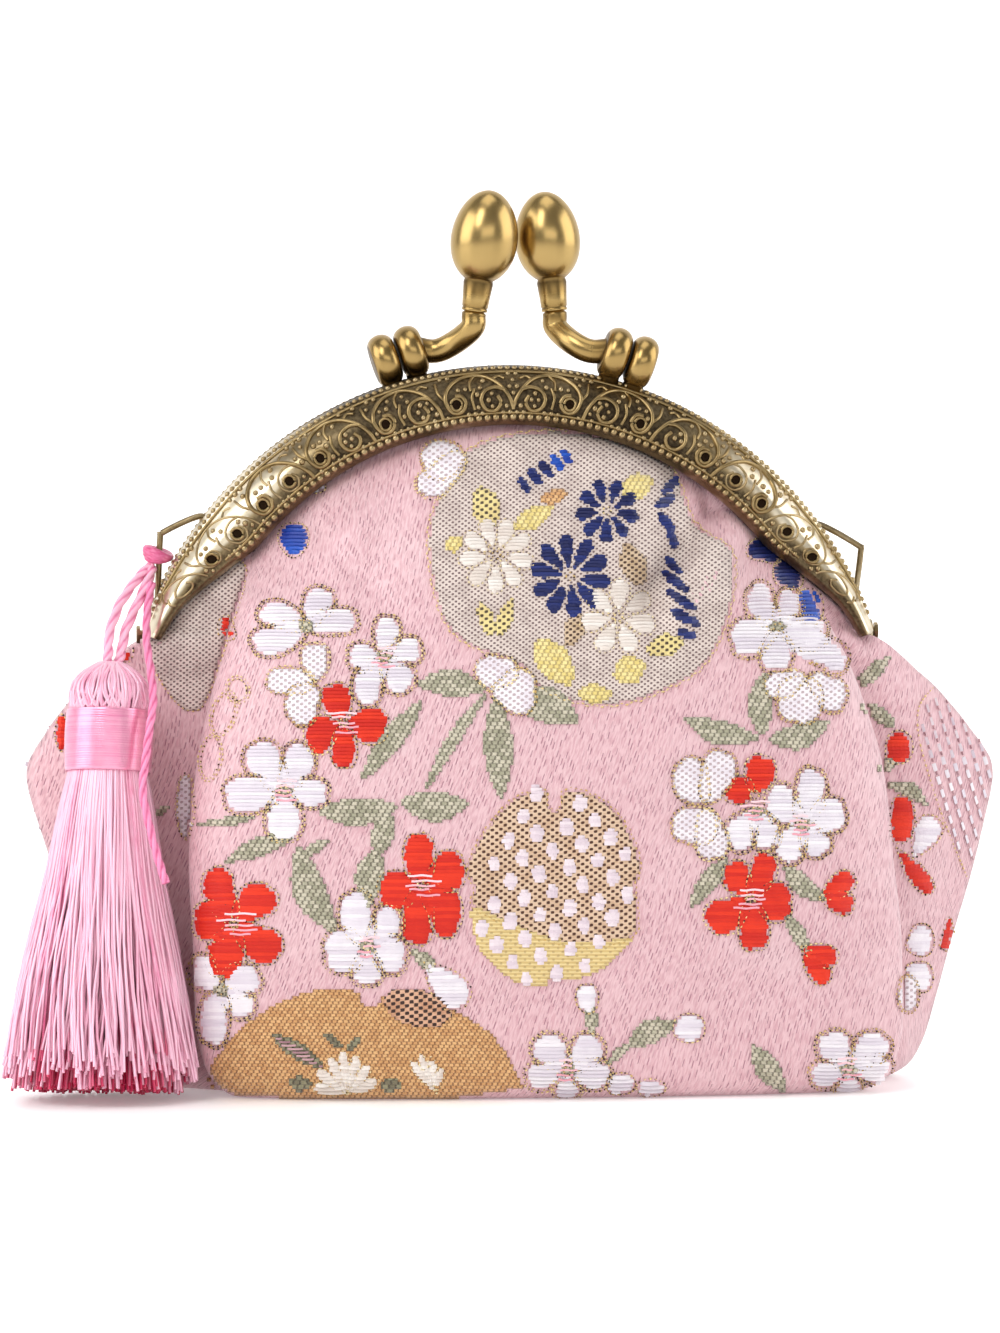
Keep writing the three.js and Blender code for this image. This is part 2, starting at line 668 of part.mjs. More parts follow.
// Cloth wall: the panel surface with its thickness
function panel(look) {
  const stations = columnStations();
  const wide = stations.length;
  const tall = rowLevels.length;
  const middle = [];
  for (const level of rowLevels) {
    for (const station of stations) {
      middle.push(panelPoint(station, level, look));
    }
  }
  const held = (n, count) => Math.min(Math.max(n, 0), count - 1);
  const at = (i, j) => middle[held(j, tall) * wide + held(i, wide)];
  const points = [];
  const half = clothThickness / 2;
  for (const way of [1, -1]) {
    for (let j = 0; j < tall; j += 1) {
      for (let i = 0; i < wide; i += 1) {
        const across = at(i + 1, j).clone().sub(at(i - 1, j));
        const down = at(i, j + 1).clone().sub(at(i, j - 1));
        const normal = down.cross(across).multiplyScalar(-look.side).normalize();
        const p = at(i, j).clone().addScaledVector(normal, way * half);
        const y = look.side * Math.max(look.side * p.y, seamGap);
        points.push([p.x, y, Math.max(p.z, 0)]);
      }
    }
  }
  const triangles = [];
  const flip = (a, b, c) => (look.side < 0 ? [a, b, c] : [a, c, b]);
  const sheet = wide * tall;
  for (let j = 0; j < tall - 1; j += 1) {
    for (let i = 0; i < wide - 1; i += 1) {
      const a = j * wide + i;
      const b = a + 1;
      const c = a + wide;
      const d = c + 1;
      triangles.push(flip(a, c, b), flip(b, c, d));
      triangles.push(flip(sheet + a, sheet + b, sheet + c), flip(sheet + b, sheet + d, sheet + c));
    }
  }
  const rim = [];
  for (let i = 0; i < wide - 1; i += 1) {
    rim.push([i, i + 1]);
    rim.push([(tall - 1) * wide + i + 1, (tall - 1) * wide + i]);
  }
  for (let j = 0; j < tall - 1; j += 1) {
    rim.push([(j + 1) * wide, j * wide]);
    rim.push([j * wide + wide - 1, (j + 1) * wide + wide - 1]);
  }
  for (const [a, b] of rim) {
    triangles.push(flip(a, b, sheet + a), flip(b, sheet + b, sheet + a));
  }
  return meshGeometry(points, triangles);
}

const frontLook = { side: -1, depthScale: 1.0, lean: 1.0, dents: frontDents };
const backLook = { side: 1, depthScale: 1.0, lean: 0.35, dents: backDents };

// Tassel: head dome and a core, with locks fused round it
const tasselAxis = tasselFoot.clone().sub(tasselTop);
const tasselLength = tasselAxis.length();
const tasselDir = tasselAxis.clone().normalize();
const tasselSide = new THREE.Vector3(1, 0, 0).addScaledVector(tasselDir, -tasselDir.x).normalize();
const tasselFront = tasselDir.clone().cross(tasselSide).normalize();

const tasselRows = [
  { down: 0.0, radius: 1.3 },
  { down: 1.2, radius: 2.9 },
  { down: 3.0, radius: 4.1 },
  { down: 5.2, radius: 4.35 },
  { down: 12.6, radius: 4.35 },
  { down: 15.0, radius: 5.0 },
  { down: 24.0, radius: 6.6 },
  { down: 36.0, radius: 8.7 },
  { down: tasselLength, radius: skirtFootRadius },
];
const tasselRadius = tableCurve(tasselRows, 'down', 'radius');
const bandTop = 5.4;
const bandFoot = 12.4;

function lock(index) {
  const turn = (2 * Math.PI * (index + 0.5)) / lockCount;
  const points = [];
  const triangles = [];
  const sides = 6;
  const downs = [13.0, 18.0, 30.0, tasselLength - 1.4 + 1.0 * Math.sin(5.3 * index + 1.2)];
  for (const down of downs) {
    const middleOut = tasselRadius(down) * 0.8;
    const sway = turn + 0.05 * Math.sin(3.7 * index) * (down / tasselLength);
    const [cos, sin] = [Math.cos(sway), Math.sin(sway)];
    const out = tasselSide.clone().multiplyScalar(cos).addScaledVector(tasselFront, sin);
    const round = tasselSide.clone().multiplyScalar(-sin).addScaledVector(tasselFront, cos);
    const centre = tasselTop.clone().addScaledVector(tasselDir, down).addScaledVector(out, middleOut);
    for (let k = 0; k < sides; k += 1) {
      const a = (2 * Math.PI * k) / sides;
      const p = centre.clone();
      p.addScaledVector(out, 0.24 * tasselRadius(down) * Math.cos(a));
      p.addScaledVector(round, 0.29 * tasselRadius(down) * Math.sin(a));
      points.push([p.x, p.y, p.z]);
    }
  }
  for (let j = 0; j < downs.length - 1; j += 1) {
    for (let k = 0; k < sides; k += 1) {
      const a = j * sides + k;
      const b = j * sides + ((k + 1) % sides);
      triangles.push([a, a + sides, b], [b, a + sides, b + sides]);
    }
  }
  const foot = (downs.length - 1) * sides;
  for (let k = 1; k < sides - 1; k += 1) {
    triangles.push([0, k, k + 1]);
    triangles.push([foot, foot + k + 1, foot + k]);
  }
  return meshGeometry(points, triangles);
}

function tasselSkirt() {
  const profile = [[0, 0]];
  for (const row of tasselRows.slice(0, 5)) {
    profile.push([row.radius, row.down]);
  }
  profile.push([tasselRadius(15) * 0.96, 15], [tasselRadius(30) * 0.86, 30]);
  profile.push([skirtFootRadius * 0.84, tasselLength - 2.0], [0, tasselLength - 2.6]);
  const core = placed(outwards(mergeVertices(lathe(profile, 14), 1e-3)), tasselTop, tasselDir);
  let solid = toSolid(core);
  for (let i = 0; i < lockCount; i += 1) {
    solid = solid.add(toSolid(outwards(lock(i))));
  }
  return fromSolid(solid);
}

function tasselBand() {
  const profile = [
    [4.65, bandTop],
    [bandRadius + 0.1, bandTop + 0.2],
    [bandRadius + 0.25, (bandTop + bandFoot) / 2],
    [bandRadius + 0.1, bandFoot - 0.2],
    [4.65, bandFoot],
    [4.65, bandTop],
  ];
  return placed(outwards(mergeVertices(lathe(profile, 16), 1e-3)), tasselTop, tasselDir);
}

// Knot round the ear loop, the cord loop below it and the free tail
const knotCentre = new THREE.Vector3(-40.35, 1.0, 60.6);
const knotAxis = new THREE.Vector3(-0.3, 0, -7.2);

function tasselKnot() {
  const profile = [
    [0.8, -1.7],
    [1.2, -1.75],
    [1.65, -1.0],
    [1.7, 0.0],
    [1.55, 1.0],
    [1.15, 1.6],
    [0.8, 1.5],
    [0.8, -1.7],
  ];
  const ring = outwards(mergeVertices(lathe(profile, 14), 1e-3));
  return placed(ring, knotCentre, knotAxis);
}

const cordPath = [
  [-46.7, -10.2, 50.0],
  [-46.4, -8.2, 52.4],
  [-45.0, -4.0, 55.2],
  [-43.2, -0.8, 57.4],
  [-42.0, 0.9, 58.1],
  [-41.7, 0.3, 57.6],
  [-42.8, -2.6, 55.6],
  [-44.4, -6.8, 52.8],
  [-45.2, -9.6, 50.1],
].map(([x, y, z]) => new THREE.Vector3(x, y, z));

const tailPath = [
  [-41.2, -1.6, 57.6],
  [-41.9, -4.4, 54.6],
  [-42.2, -8.2, 51.4],
  [-42.0, -12.2, 48.2],
  [-41.9, -15.2, 45.0],
  [-42.4, -16.8, 42.0],
  [-42.9, -17.6, 38.6],
  [-43.3, -18.6, 35.0],
  [-42.6, -19.6, 31.0],
  [-41.7, -20.8, 27.4],
  [-40.9, -21.6, 24.8],
].map(([x, y, z]) => new THREE.Vector3(x, y, z));

const purse = new THREE.Group();
purse.name = 'coin_purse';

function addPiece(name, geometry, material) {
  const mesh = new THREE.Mesh(geometry, material);
  mesh.name = name;
  purse.add(mesh);
}

addPiece('front_arm', arm(-1), metal);
addPiece('back_arm', arm(1), metal);
addPiece('left_knob', knob(clasps.left), metal);
addPiece('right_knob', knob(clasps.right), metal);
addPiece('hinge_rivet_left', rivet(-1), metal);
addPiece('hinge_rivet_right', rivet(1), metal);
addPiece('front_panel', panel(frontLook), cloth);
addPiece('back_panel', panel(backLook), cloth);
addPiece('tassel_skirt', tasselSkirt(), silk);
addPiece('tassel_band', tasselBand(), silk);
addPiece('tassel_knot', tasselKnot(), silk);
addPiece('tassel_cord', roundTube(cordPath, cordRadius, 16), silk);
addPiece('tassel_tail', roundTube(tailPath, tailRadius, 16), silk);

export default purse;
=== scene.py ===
import math
import random

import bpy
import numpy as np
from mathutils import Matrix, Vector
from mathutils.bvhtree import BVHTree


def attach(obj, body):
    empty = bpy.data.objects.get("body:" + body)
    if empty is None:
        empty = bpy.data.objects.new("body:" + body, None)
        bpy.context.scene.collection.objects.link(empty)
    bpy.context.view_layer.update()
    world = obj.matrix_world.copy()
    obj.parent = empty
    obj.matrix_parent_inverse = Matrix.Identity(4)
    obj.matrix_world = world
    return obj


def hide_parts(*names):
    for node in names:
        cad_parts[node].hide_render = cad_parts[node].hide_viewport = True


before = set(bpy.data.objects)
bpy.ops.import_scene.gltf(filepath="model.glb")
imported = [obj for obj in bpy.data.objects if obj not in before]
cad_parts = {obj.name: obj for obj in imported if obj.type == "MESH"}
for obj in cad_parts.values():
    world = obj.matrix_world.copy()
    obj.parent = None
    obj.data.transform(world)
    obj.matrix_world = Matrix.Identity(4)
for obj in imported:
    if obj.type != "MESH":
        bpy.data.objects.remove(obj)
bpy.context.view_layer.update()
scene = bpy.context.scene
scene.view_settings.view_transform = "Standard"
mm = 0.001
print("frame loaded:", len(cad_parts), "solids")


# camera, at the photograph's angle
shot = {
    "azimuth": -6.0,
    "elevation": 3.0,
    "distance": 0.9,
    "lens": 211.0,
    "sensor": 36.0,
    "aim": (-0.001, 0.0, 0.0478),
    "pixelsWide": 1000,
    "pixelsTall": 1333,
}


def shotAxes():
    turn, rise = math.radians(shot["azimuth"]), math.radians(shot["elevation"])
    back = Vector((math.sin(turn) * math.cos(rise), -math.cos(turn) * math.cos(rise), math.sin(rise)))
    right = Vector((math.cos(turn), math.sin(turn), 0))
    return Vector(shot["aim"]) + back * shot["distance"], back, right, back.cross(right)


def makeCamera():
    eye, back, right, upward = shotAxes()
    lens = bpy.data.cameras.new("camera")
    lens.lens = shot["lens"]
    lens.sensor_width = shot["sensor"]
    lens.clip_start, lens.clip_end = 0.01, 20
    camera = bpy.data.objects.new("camera", lens)
    camera.location = eye
    camera.rotation_mode = "QUATERNION"
    camera.rotation_quaternion = (-back).to_track_quat("-Z", "Y")
    scene.collection.objects.link(camera)
    scene.camera = camera


makeCamera()
print("camera set")


def smoothPath(points, perSpan=8):
    points = [Vector(p) for p in points]
    ends = [2 * points[0] - points[1], *points, 2 * points[-1] - points[-2]]
    path = []
    for i in range(1, len(ends) - 2):
        p0, p1, p2, p3 = ends[i - 1 : i + 3]
        for k in range(perSpan):
            t = k / perSpan
            path.append(0.5 * (2 * p1 + (p2 - p0) * t + (2 * p0 - 5 * p1 + 4 * p2 - p3) * t**2
                               + (3 * p1 - p0 - 3 * p2 + p3) * t**3))
    return path + [points[-1]]


# node sheets: a wire is a socket that adds Math nodes where it stands in an expression
class Wire:
    def __init__(self, sheet, socket):
        self.sheet = sheet
        self.socket = socket

    def maths(self, operation, *others):
        values = dict(enumerate((self, *others)))
        return self.sheet.add("ShaderNodeMath", {"operation": operation}, values)

    def output(self, name):
        return Wire(self.sheet, self.socket.node.outputs[name])

    def __add__(self, other):
        return self.maths("ADD", other)

    def __sub__(self, other):
        return self.maths("SUBTRACT", other)

    def __rsub__(self, other):
        return self.sheet.add("ShaderNodeMath", {"operation": "SUBTRACT"}, {0: other, 1: self})

    def __mul__(self, other):
        return self.maths("MULTIPLY", other)

    def __truediv__(self, other):
        return self.maths("DIVIDE", other)

    __radd__ = __add__
    __rmul__ = __mul__


class NodeSheet:
    def __init__(self, tree):
        self.tree = tree

    def add(self, kind, settings=None, values=None, out=0):
        node = self.tree.nodes.new(kind)
        for name, value in (settings or {}).items():
            setattr(node, name, value)
        for name, value in (values or {}).items():
            if isinstance(value, Wire):
                self.tree.links.new(value.socket, node.inputs[name])
            else:
                node.inputs[name].default_value = value
        return Wire(self, node.outputs[out])


def tint(red, green, blue):
    linear = [c / 255 / 12.92 if c < 11 else ((c / 255 + 0.055) / 1.055) ** 2.4 for c in (red, green, blue)]
    return (*linear, 1.0)


class Finish(NodeSheet):
    def __init__(self, name, **fixed):
        self.material = bpy.data.materials.new(name)
        self.material.use_nodes = True
        super().__init__(self.material.node_tree)
        self.shader = self.tree.nodes["Principled BSDF"]
        for socket, value in fixed.items():
            self.set(socket.replace("_", " "), value)

    def set(self, socket, value):
        if isinstance(value, Wire):
            self.tree.links.new(value.socket, self.shader.inputs[socket])
        else:
            self.shader.inputs[socket].default_value = value

    def mix(self, first, second, share):
        return self.add("ShaderNodeMix", {"data_type": "RGBA"}, {0: share, 6: first, 7: second}, 2)

    def place(self, name=None):
        if name:
            return self.add("ShaderNodeUVMap", {"uv_map": name})
        return self.add("ShaderNodeTexCoord").output("Object")

    def axes(self, vector):
        x = self.add("ShaderNodeSeparateXYZ", None, {0: vector})
        return x, x.output("Y"), x.output("Z")

    def vector(self, x=0.0, y=0.0, z=0.0):
        return self.add("ShaderNodeCombineXYZ", None, {0: x, 1: y, 2: z})

    def noise(self, vector, scale, detail=2.0):
        return self.add("ShaderNodeTexNoise", None, {"Vector": vector, "Scale": scale, "Detail": detail})

    def chance(self, x, y):
        return self.add("ShaderNodeTexWhiteNoise", {"noise_dimensions": "2D"}, {0: self.vector(x, y)})

    def between(self, value, low, high):
        settings = {"interpolation_type": "SMOOTHSTEP"}
        return self.add("ShaderNodeMapRange", settings, {0: value, 1: low, 2: high})

    def attribute(self, name):
        return self.add("ShaderNodeAttribute", {"attribute_name": name}).output("Fac")

    def bump(self, height, distance, strength=1.0):
        values = {"Height": height, "Distance": distance, "Strength": strength}
        self.set("Normal", self.add("ShaderNodeBump", None, values))


# cloth finishes; the weave map counts millimetres on the panel, the chart map counts chart pixels
def satinFinish():
    f = Finish("pink_satin", Roughness=0.44, Sheen_Weight=0.3, Sheen_Roughness=0.4, Specular_IOR_Level=0.75)
    across, along, _ = f.axes(f.place("weave"))
    slant = across - along * 0.36
    column = (slant * 2.7).maths("FLOOR")
    middle = (slant * 2.7).maths("FRACT") - 0.5
    step = along * 0.85 + column * 0.38
    cell = f.chance(column, step.maths("FLOOR"))
    end = step.maths("FRACT") - 0.5
    thin = 1 - f.between(middle.maths("ABSOLUTE"), 0.08, 0.19)
    short = 1 - f.between(end.maths("ABSOLUTE"), 0.24, 0.38)
    dark = thin * short * f.between(cell, 0.2, 0.9)
    thread = f.noise(f.vector(slant * 4.6, along * 0.9), 1.0, 1.0)
    broad = f.noise(f.vector(across, along), 0.09)
    colour = f.mix(tint(206, 158, 166), tint(222, 183, 188), f.between(thread, 0.34, 0.62))
    colour = f.mix(colour, tint(229, 199, 202), f.between(broad, 0.45, 0.75) * 0.35)
    f.set("Base Color", f.mix(colour, tint(158, 96, 116), dark * 0.8))
    f.bump(thread * 0.8 - dark, 0.00014, 0.7)
    return f.material


# woven net: pale threads over a darker ground in a diagonal lattice
def netFinish(name, pale, second, dots, pitch, coverage, sheen=0.2):
    f = Finish(name, Roughness=0.55, Sheen_Weight=sheen, Specular_IOR_Level=0.35)
    across, down, _ = f.axes(f.place("chart"))
    turn = math.pi / pitch
    lattice = (across * turn).maths("SINE") * ((down + across * 0.12) * (turn * 1.25)).maths("SINE")
    patchy = f.noise(f.vector(across, down), 0.05)
    grain = f.noise(f.vector(across * 0.3, down), 0.55)
    hole = f.between(lattice + (grain - 0.5) * 0.5, coverage, coverage + 0.35)
    colour = f.mix(tint(*pale), tint(*second), f.between(patchy + (grain - 0.5) * 0.6, 0.4, 0.65))
    f.set("Base Color", f.mix(colour, tint(*dots), hole))
    f.bump(grain * 0.4 - hole, 0.00016, 0.8)
    return f.material


# short floats laid like bricks, darker where they end
def brickFinish(name, pale, second, dots, long, tall):
    f = Finish(name, Roughness=0.52, Sheen_Weight=0.2, Specular_IOR_Level=0.35)
    across, down, _ = f.axes(f.place("chart"))
    grain = f.noise(f.vector(across * 0.3, down), 0.55)
    row = (down / tall).maths("FLOOR")
    course = (down / tall).maths("FRACT") - 0.5
    run = across / long + row * 0.37 + (grain - 0.5) * 0.4
    brick = f.chance(run.maths("FLOOR"), row)
    end = f.between((run.maths("FRACT") - 0.5).maths("ABSOLUTE"), 0.28, 0.46)
    edge = f.between(course.maths("ABSOLUTE"), 0.3, 0.5)
    colour = f.mix(tint(*pale), tint(*second), f.between(brick + (grain - 0.5) * 0.6, 0.25, 0.8))
    f.set("Base Color", f.mix(colour, tint(*dots), (end * 0.8).maths("MAXIMUM", edge * 0.3)))
    f.bump(grain * 0.4 - end - edge * 0.4, 0.00016, 0.8)
    return f.material


# ribbed ground: horizontal metallic floats with rows of small dark dots
def ribFinish(name, pale, deep, dots, pitch, dotShare):
    f = Finish(name, Roughness=0.45, Metallic=0.15, Sheen_Weight=0.15, Specular_IOR_Level=0.4)
    across, down, _ = f.axes(f.place("chart"))
    rib = (down * (2 * math.pi / pitch)).maths("SINE")
    lattice = (across * (math.pi / pitch * 0.8)).maths("SINE") * (down * (math.pi / pitch)).maths("SINE")
    grain = f.noise(f.vector(across * 0.25, down), 0.6)
    hole = f.between(lattice + (grain - 0.5) * 0.7, 0.45, 0.8) * dotShare
    colour = f.mix(tint(*pale), tint(*deep), f.between(rib + grain, -0.2, 1.1))
    f.set("Base Color", f.mix(colour, tint(*dots), hole))
    f.bump(rib * -0.3 + grain * 0.4 - hole, 0.00016, 0.8)
    return f.material


def threadFinish(name, pale, deep, roughness=0.36, metallic=0.0):
    f = Finish(name, Roughness=roughness, Metallic=metallic, Sheen_Weight=0.05, Specular_IOR_Level=0.35)
    tone = f.attribute("tone")
    spot = f.noise(f.place(), 900.0)
    shade = f.between(tone * 0.7 + spot * 0.5, 0.2, 0.95)
    f.set("Base Color", f.mix(tint(*pale), tint(*deep), shade))
    f.bump(f.noise(f.place(), 4200.0), 0.00005, 0.5)
    return f.material


clothFinish = {
    "satin": satinFinish(),
    "lilacNet": netFinish("lilac_net", (217, 201, 192), (199, 182, 174), (118, 96, 94), 3.2, 0.22),
    "whiteNet": netFinish("white_net", (237, 231, 235), (225, 215, 223), (190, 170, 174), 4.0, 0.2),
    "leafNet": brickFinish("leaf_weave", (202, 194, 172), (160, 156, 132), (98, 92, 74), 6.4, 3.8),
    "tanNet": netFinish("tan_net", (218, 188, 160), (202, 168, 138), (80, 47, 33), 4.3, 0.12),
    "goldRib": ribFinish("gold_rib", (232, 210, 150), (210, 182, 120), (150, 112, 72), 3.8, 0.4),
    "ochreRib": brickFinish("ochre_weave", (224, 176, 120), (204, 152, 98), (132, 84, 48), 5.6, 3.1),
    "darkNet": netFinish("dark_net", (214, 168, 138), (190, 140, 108), (52, 30, 22), 4.6, -0.05),
    "sageNet": brickFinish("sage_weave", (146, 142, 112), (118, 112, 88), (70, 62, 48), 7.0, 4.2),
    "yellowNet": brickFinish("yellow_weave", (238, 220, 150), (226, 204, 124), (178, 154, 98), 6.0, 3.8),
    "yellowDots": netFinish("yellow_dotted", (228, 210, 144), (214, 192, 130), (78, 64, 44), 4.4, 0.14),
    "brownNet": netFinish("brown_dotted", (206, 180, 150), (184, 156, 122), (76, 52, 36), 3.6, 0.05),
    "white": threadFinish("white_floss", (235, 230, 234), (216, 207, 217), 0.45),
    "dotWhite": threadFinish("dot_floss", (231, 217, 222), (213, 196, 205), 0.5),
    "cream": threadFinish("cream_floss", (236, 229, 222), (220, 208, 198), 0.45),
    "red": threadFinish("red_floss", (226, 48, 12), (200, 26, 6), 0.5),
    "navy": threadFinish("navy_floss", (28, 44, 112), (14, 22, 76)),
    "blue": threadFinish("blue_floss", (30, 86, 190), (18, 52, 146)),
    "mauve": threadFinish("mauve_floss", (196, 156, 160), (150, 110, 118)),
    "gold": threadFinish("gold_thread", (240, 218, 158), (204, 170, 104), 0.4, 0.2),
    "pale": threadFinish("pale_thread", (240, 226, 184), (222, 200, 150), 0.45),
    "dark": threadFinish("dark_thread", (84, 60, 46), (44, 30, 28), 0.6),
    "pinkFloss": threadFinish("pink_floss", (248, 210, 216), (232, 160, 174)),
}
print("cloth finishes made")


# growths: trees that follow a line, with inputs set by socket identifier
class Growth(NodeSheet):
    def __init__(self, name, inputs):
        super().__init__(bpy.data.node_groups.new(name, "GeometryNodeTree"))
        sides = self.tree.interface
        sides.new_socket("Geometry", in_out="INPUT", socket_type="NodeSocketGeometry")
        for kind, socketNames in inputs.items():
            for socketName in socketNames:
                sides.new_socket(socketName, in_out="INPUT", socket_type="NodeSocket" + kind)
        sides.new_socket("Geometry", in_out="OUTPUT", socket_type="NodeSocketGeometry")
        self.source = self.add("NodeGroupInput")

    def given(self, name):
        return self.source.output(name)

    def close(self, geometry, rounded=True):
        real = self.add("GeometryNodeRealizeInstances", None, {0: geometry})
        smooth = self.add("GeometryNodeSetShadeSmooth", None, {0: real, "Shade Smooth": rounded})
        values = {"Geometry": smooth, "Material": self.given("Material")}
        last = self.add("GeometryNodeSetMaterial", None, values)
        end = self.tree.nodes.new("NodeGroupOutput")
        self.tree.links.new(last.socket, end.inputs[0])

    # copies of one thing on points, uneven in size
    def scatter(self, points, thing, **more):
        values = {2: 1.0 - self.given("Uneven"), 3: 1.0 + self.given("Uneven"), "Seed": self.given("Seed")}
        scale = self.add("FunctionNodeRandomValue", {"data_type": "FLOAT"}, values, 1)
        values = {"Points": points, "Instance": thing, "Scale": scale, **more}
        self.close(self.add("GeometryNodeInstanceOnPoints", None, values))


def strandGrowth():
    inputs = {"Float": ("Half Wide", "Half Deep"), "Int": ("Sides",), "Bool": ("Rounded",),
              "Material": ("Material",)}
    g = Growth("strand_growth", inputs)
    line = g.add("GeometryNodeMeshToCurve", None, {"Mesh": g.given("Geometry")})
    line = g.add("GeometryNodeSetCurveNormal", {"mode": "Z_UP"}, {"Curve": line})
    ring = g.add("GeometryNodeCurvePrimitiveCircle", None, {"Resolution": g.given("Sides"), "Radius": 1.0})
    size = g.add("ShaderNodeCombineXYZ", None, {0: g.given("Half Deep"), 1: g.given("Half Wide"), 2: 1.0})
    ring = g.add("GeometryNodeTransform", None, {"Geometry": ring, "Scale": size})
    tube = g.add("GeometryNodeCurveToMesh", None, {"Curve": line, "Profile Curve": ring, "Fill Caps": True})
    g.close(tube, g.given("Rounded"))
    return g.tree


def beadGrowth():
    inputs = {"Float": ("Spacing", "Long", "Wide", "Uneven"), "Int": ("Seed", "Sides", "Rings"),
              "Material": ("Material",)}
    g = Growth("bead_growth", inputs)
    line = g.add("GeometryNodeMeshToCurve", None, {"Mesh": g.given("Geometry")})
    values = {"Curve": line, "Length": g.given("Spacing")}
    line = g.add("GeometryNodeResampleCurve", {"mode": "LENGTH"}, values)
    along = g.add("GeometryNodeInputTangent")
    turn = g.add("FunctionNodeAlignRotationToVector", {"axis": "X"}, {"Vector": along})
    ball = {"Segments": g.given("Sides"), "Rings": g.given("Rings"), "Radius": 1.0}
    bead = g.add("GeometryNodeMeshUVSphere", None, ball)
    size = g.add("ShaderNodeCombineXYZ", None, {0: g.given("Long"), 1: g.given("Wide"), 2: g.given("Wide")})
    bead = g.add("GeometryNodeTransform", None, {"Geometry": bead, "Scale": size})
    g.scatter(line, bead, Rotation=turn)
    return g.tree


def pebbleGrowth():
    inputs = {"Float": ("Size", "Uneven"), "Int": ("Seed", "Rings"), "Material": ("Material",)}
    g = Growth("pebble_growth", inputs)
    points = g.add("GeometryNodeMeshToPoints", None, {"Mesh": g.given("Geometry")})
    ball = {"Segments": 6, "Rings": g.given("Rings"), "Radius": g.given("Size")}
    g.scatter(points, g.add("GeometryNodeMeshUVSphere", None, ball))
    return g.tree


strandTree = strandGrowth()
pebbleTree = pebbleGrowth()
beadTree = beadGrowth()


def linkMesh(name, points, faces=(), edges=()):
    mesh = bpy.data.meshes.new(name)
    mesh.from_pydata([tuple(p) for p in points], edges, faces)
    piece = bpy.data.objects.new(name, mesh)
    scene.collection.objects.link(piece)
    return piece


def setValues(piece, name, values):
    piece.data.attributes.new(name, "FLOAT", "POINT").data.foreach_set("value", values)


# lines is a list of (points, tone, closed); the tone rides along to the finish
def lineMesh(name, lines):
    points, edges, tones = [], [], []
    for line, tone, closed in lines:
        first = len(points)
        points.extend(line)
        tones.extend([tone] * len(line))
        edges.extend((first + i, first + i + 1) for i in range(len(line) - 1))
        if closed:
            edges.append((first + len(line) - 1, first))
    piece = linkMesh(name, points, (), edges)
    setValues(piece, "tone", tones)
    return piece


# modifiers made into the piece's own plain mesh
def plainMesh(piece):
    graph = bpy.context.evaluated_depsgraph_get()
    made = piece.evaluated_get(graph)
    mesh = bpy.data.meshes.new_from_object(made, preserve_all_data_layers=True, depsgraph=graph)
    piece.modifiers.clear()
    piece.data = mesh
    return piece


def grow(piece, tree, **sizes):
    modifier = piece.modifiers.new("growth", "NODES")
    modifier.node_group = tree
    for socket in tree.interface.items_tree:
        key = socket.name.replace(" ", "")
        key = key[0].lower() + key[1:]
        if socket.in_out == "INPUT" and key in sizes:
            modifier[socket.identifier] = sizes[key]
    return plainMesh(piece)


def settle(piece, slotName, *nodes):
    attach(piece, "root")
    if nodes:
        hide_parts(*nodes)
    return piece


def shadeSmooth(piece, material):
    piece.data.materials.append(material)
    piece.data.polygons.foreach_set("use_smooth", [True] * len(piece.data.polygons))
    piece.data.update()
    return piece


# cloth panels, from the solids' section tables with a steeper, fuller mouth and deeper creases (millimetres)
arch = {"radius": 44.4, "centreZ": 38.1, "endDeg": 72.0, "clothRadius": 41.2, "channelDepth": 1.75}
armInnerRows = ((0, 37.6), (50, 37.6), (57, 38.8), (62, 40.2), (67, 41.6), (73, 42.5))
clothColumns = ("level", "z", "front", "foldX", "foldY", "valleyX", "valleyY", "lean")
clothRows = (
    (-19.5, 0.5, 0.15, 25.0, 0.15, 27.0, 0.15, 0.0),
    (-12.0, 0.5, 8.0, 29.5, 5.4, 30.2, 3.8, 1.5),
    (-5.0, 0.5, 15.3, 33.2, 10.3, 33.2, 7.3, 2.8),
    (0.0, 0.5, 20.0, 35.8, 13.6, 35.4, 9.6, 3.5),
    (2.5, 1.6, 22.2, 37.6, 15.4, 36.7, 10.6, 3.6),
    (5.0, 4.2, 23.5, 39.1, 16.5, 36.8, 10.2, 3.4),
    (9.0, 9.0, 24.3, 39.9, 16.9, 36.8, 9.6, 3.2),
    (18.0, 18.0, 24.9, 39.9, 16.8, 36.4, 9.2, 2.9),
    (28.0, 28.0, 24.4, 39.6, 15.8, 35.4, 8.6, 2.2),
    (37.0, 37.0, 23.0, 38.7, 14.2, 33.9, 7.6, 2.2),
    (44.0, 44.0, 21.3, 37.0, 12.4, 32.4, 6.4, 2.1),
    (50.0, 50.0, 19.4, 35.0, 10.2, 31.0, 5.2, 2.0),
    (56.0, 56.0, 16.9, 32.5, 7.4, 30.0, 4.2, 1.7),
    (62.0, 62.0, 14.0, 29.9, 3.8, 30.0, 3.0, 1.0),
    (66.0, 66.0, 11.3, 30.25, 1.75, 30.28, 1.75, 0.6),
    (70.0, 70.0, 7.9, 30.3, 1.75, 30.3, 1.75, 0.3),
    (73.0, 73.0, 5.6, 30.3, 1.75, 30.3, 1.75, 0.1),
    (75.0, 75.0, 3.3, 30.3, 1.75, 30.3, 1.75, 0.0),
    (77.0, 77.0, 1.8, 30.3, 1.75, 30.3, 1.75, 0.0),
    (79.4, 79.4, 1.75, 30.3, 1.75, 30.3, 1.75, 0.0),
)
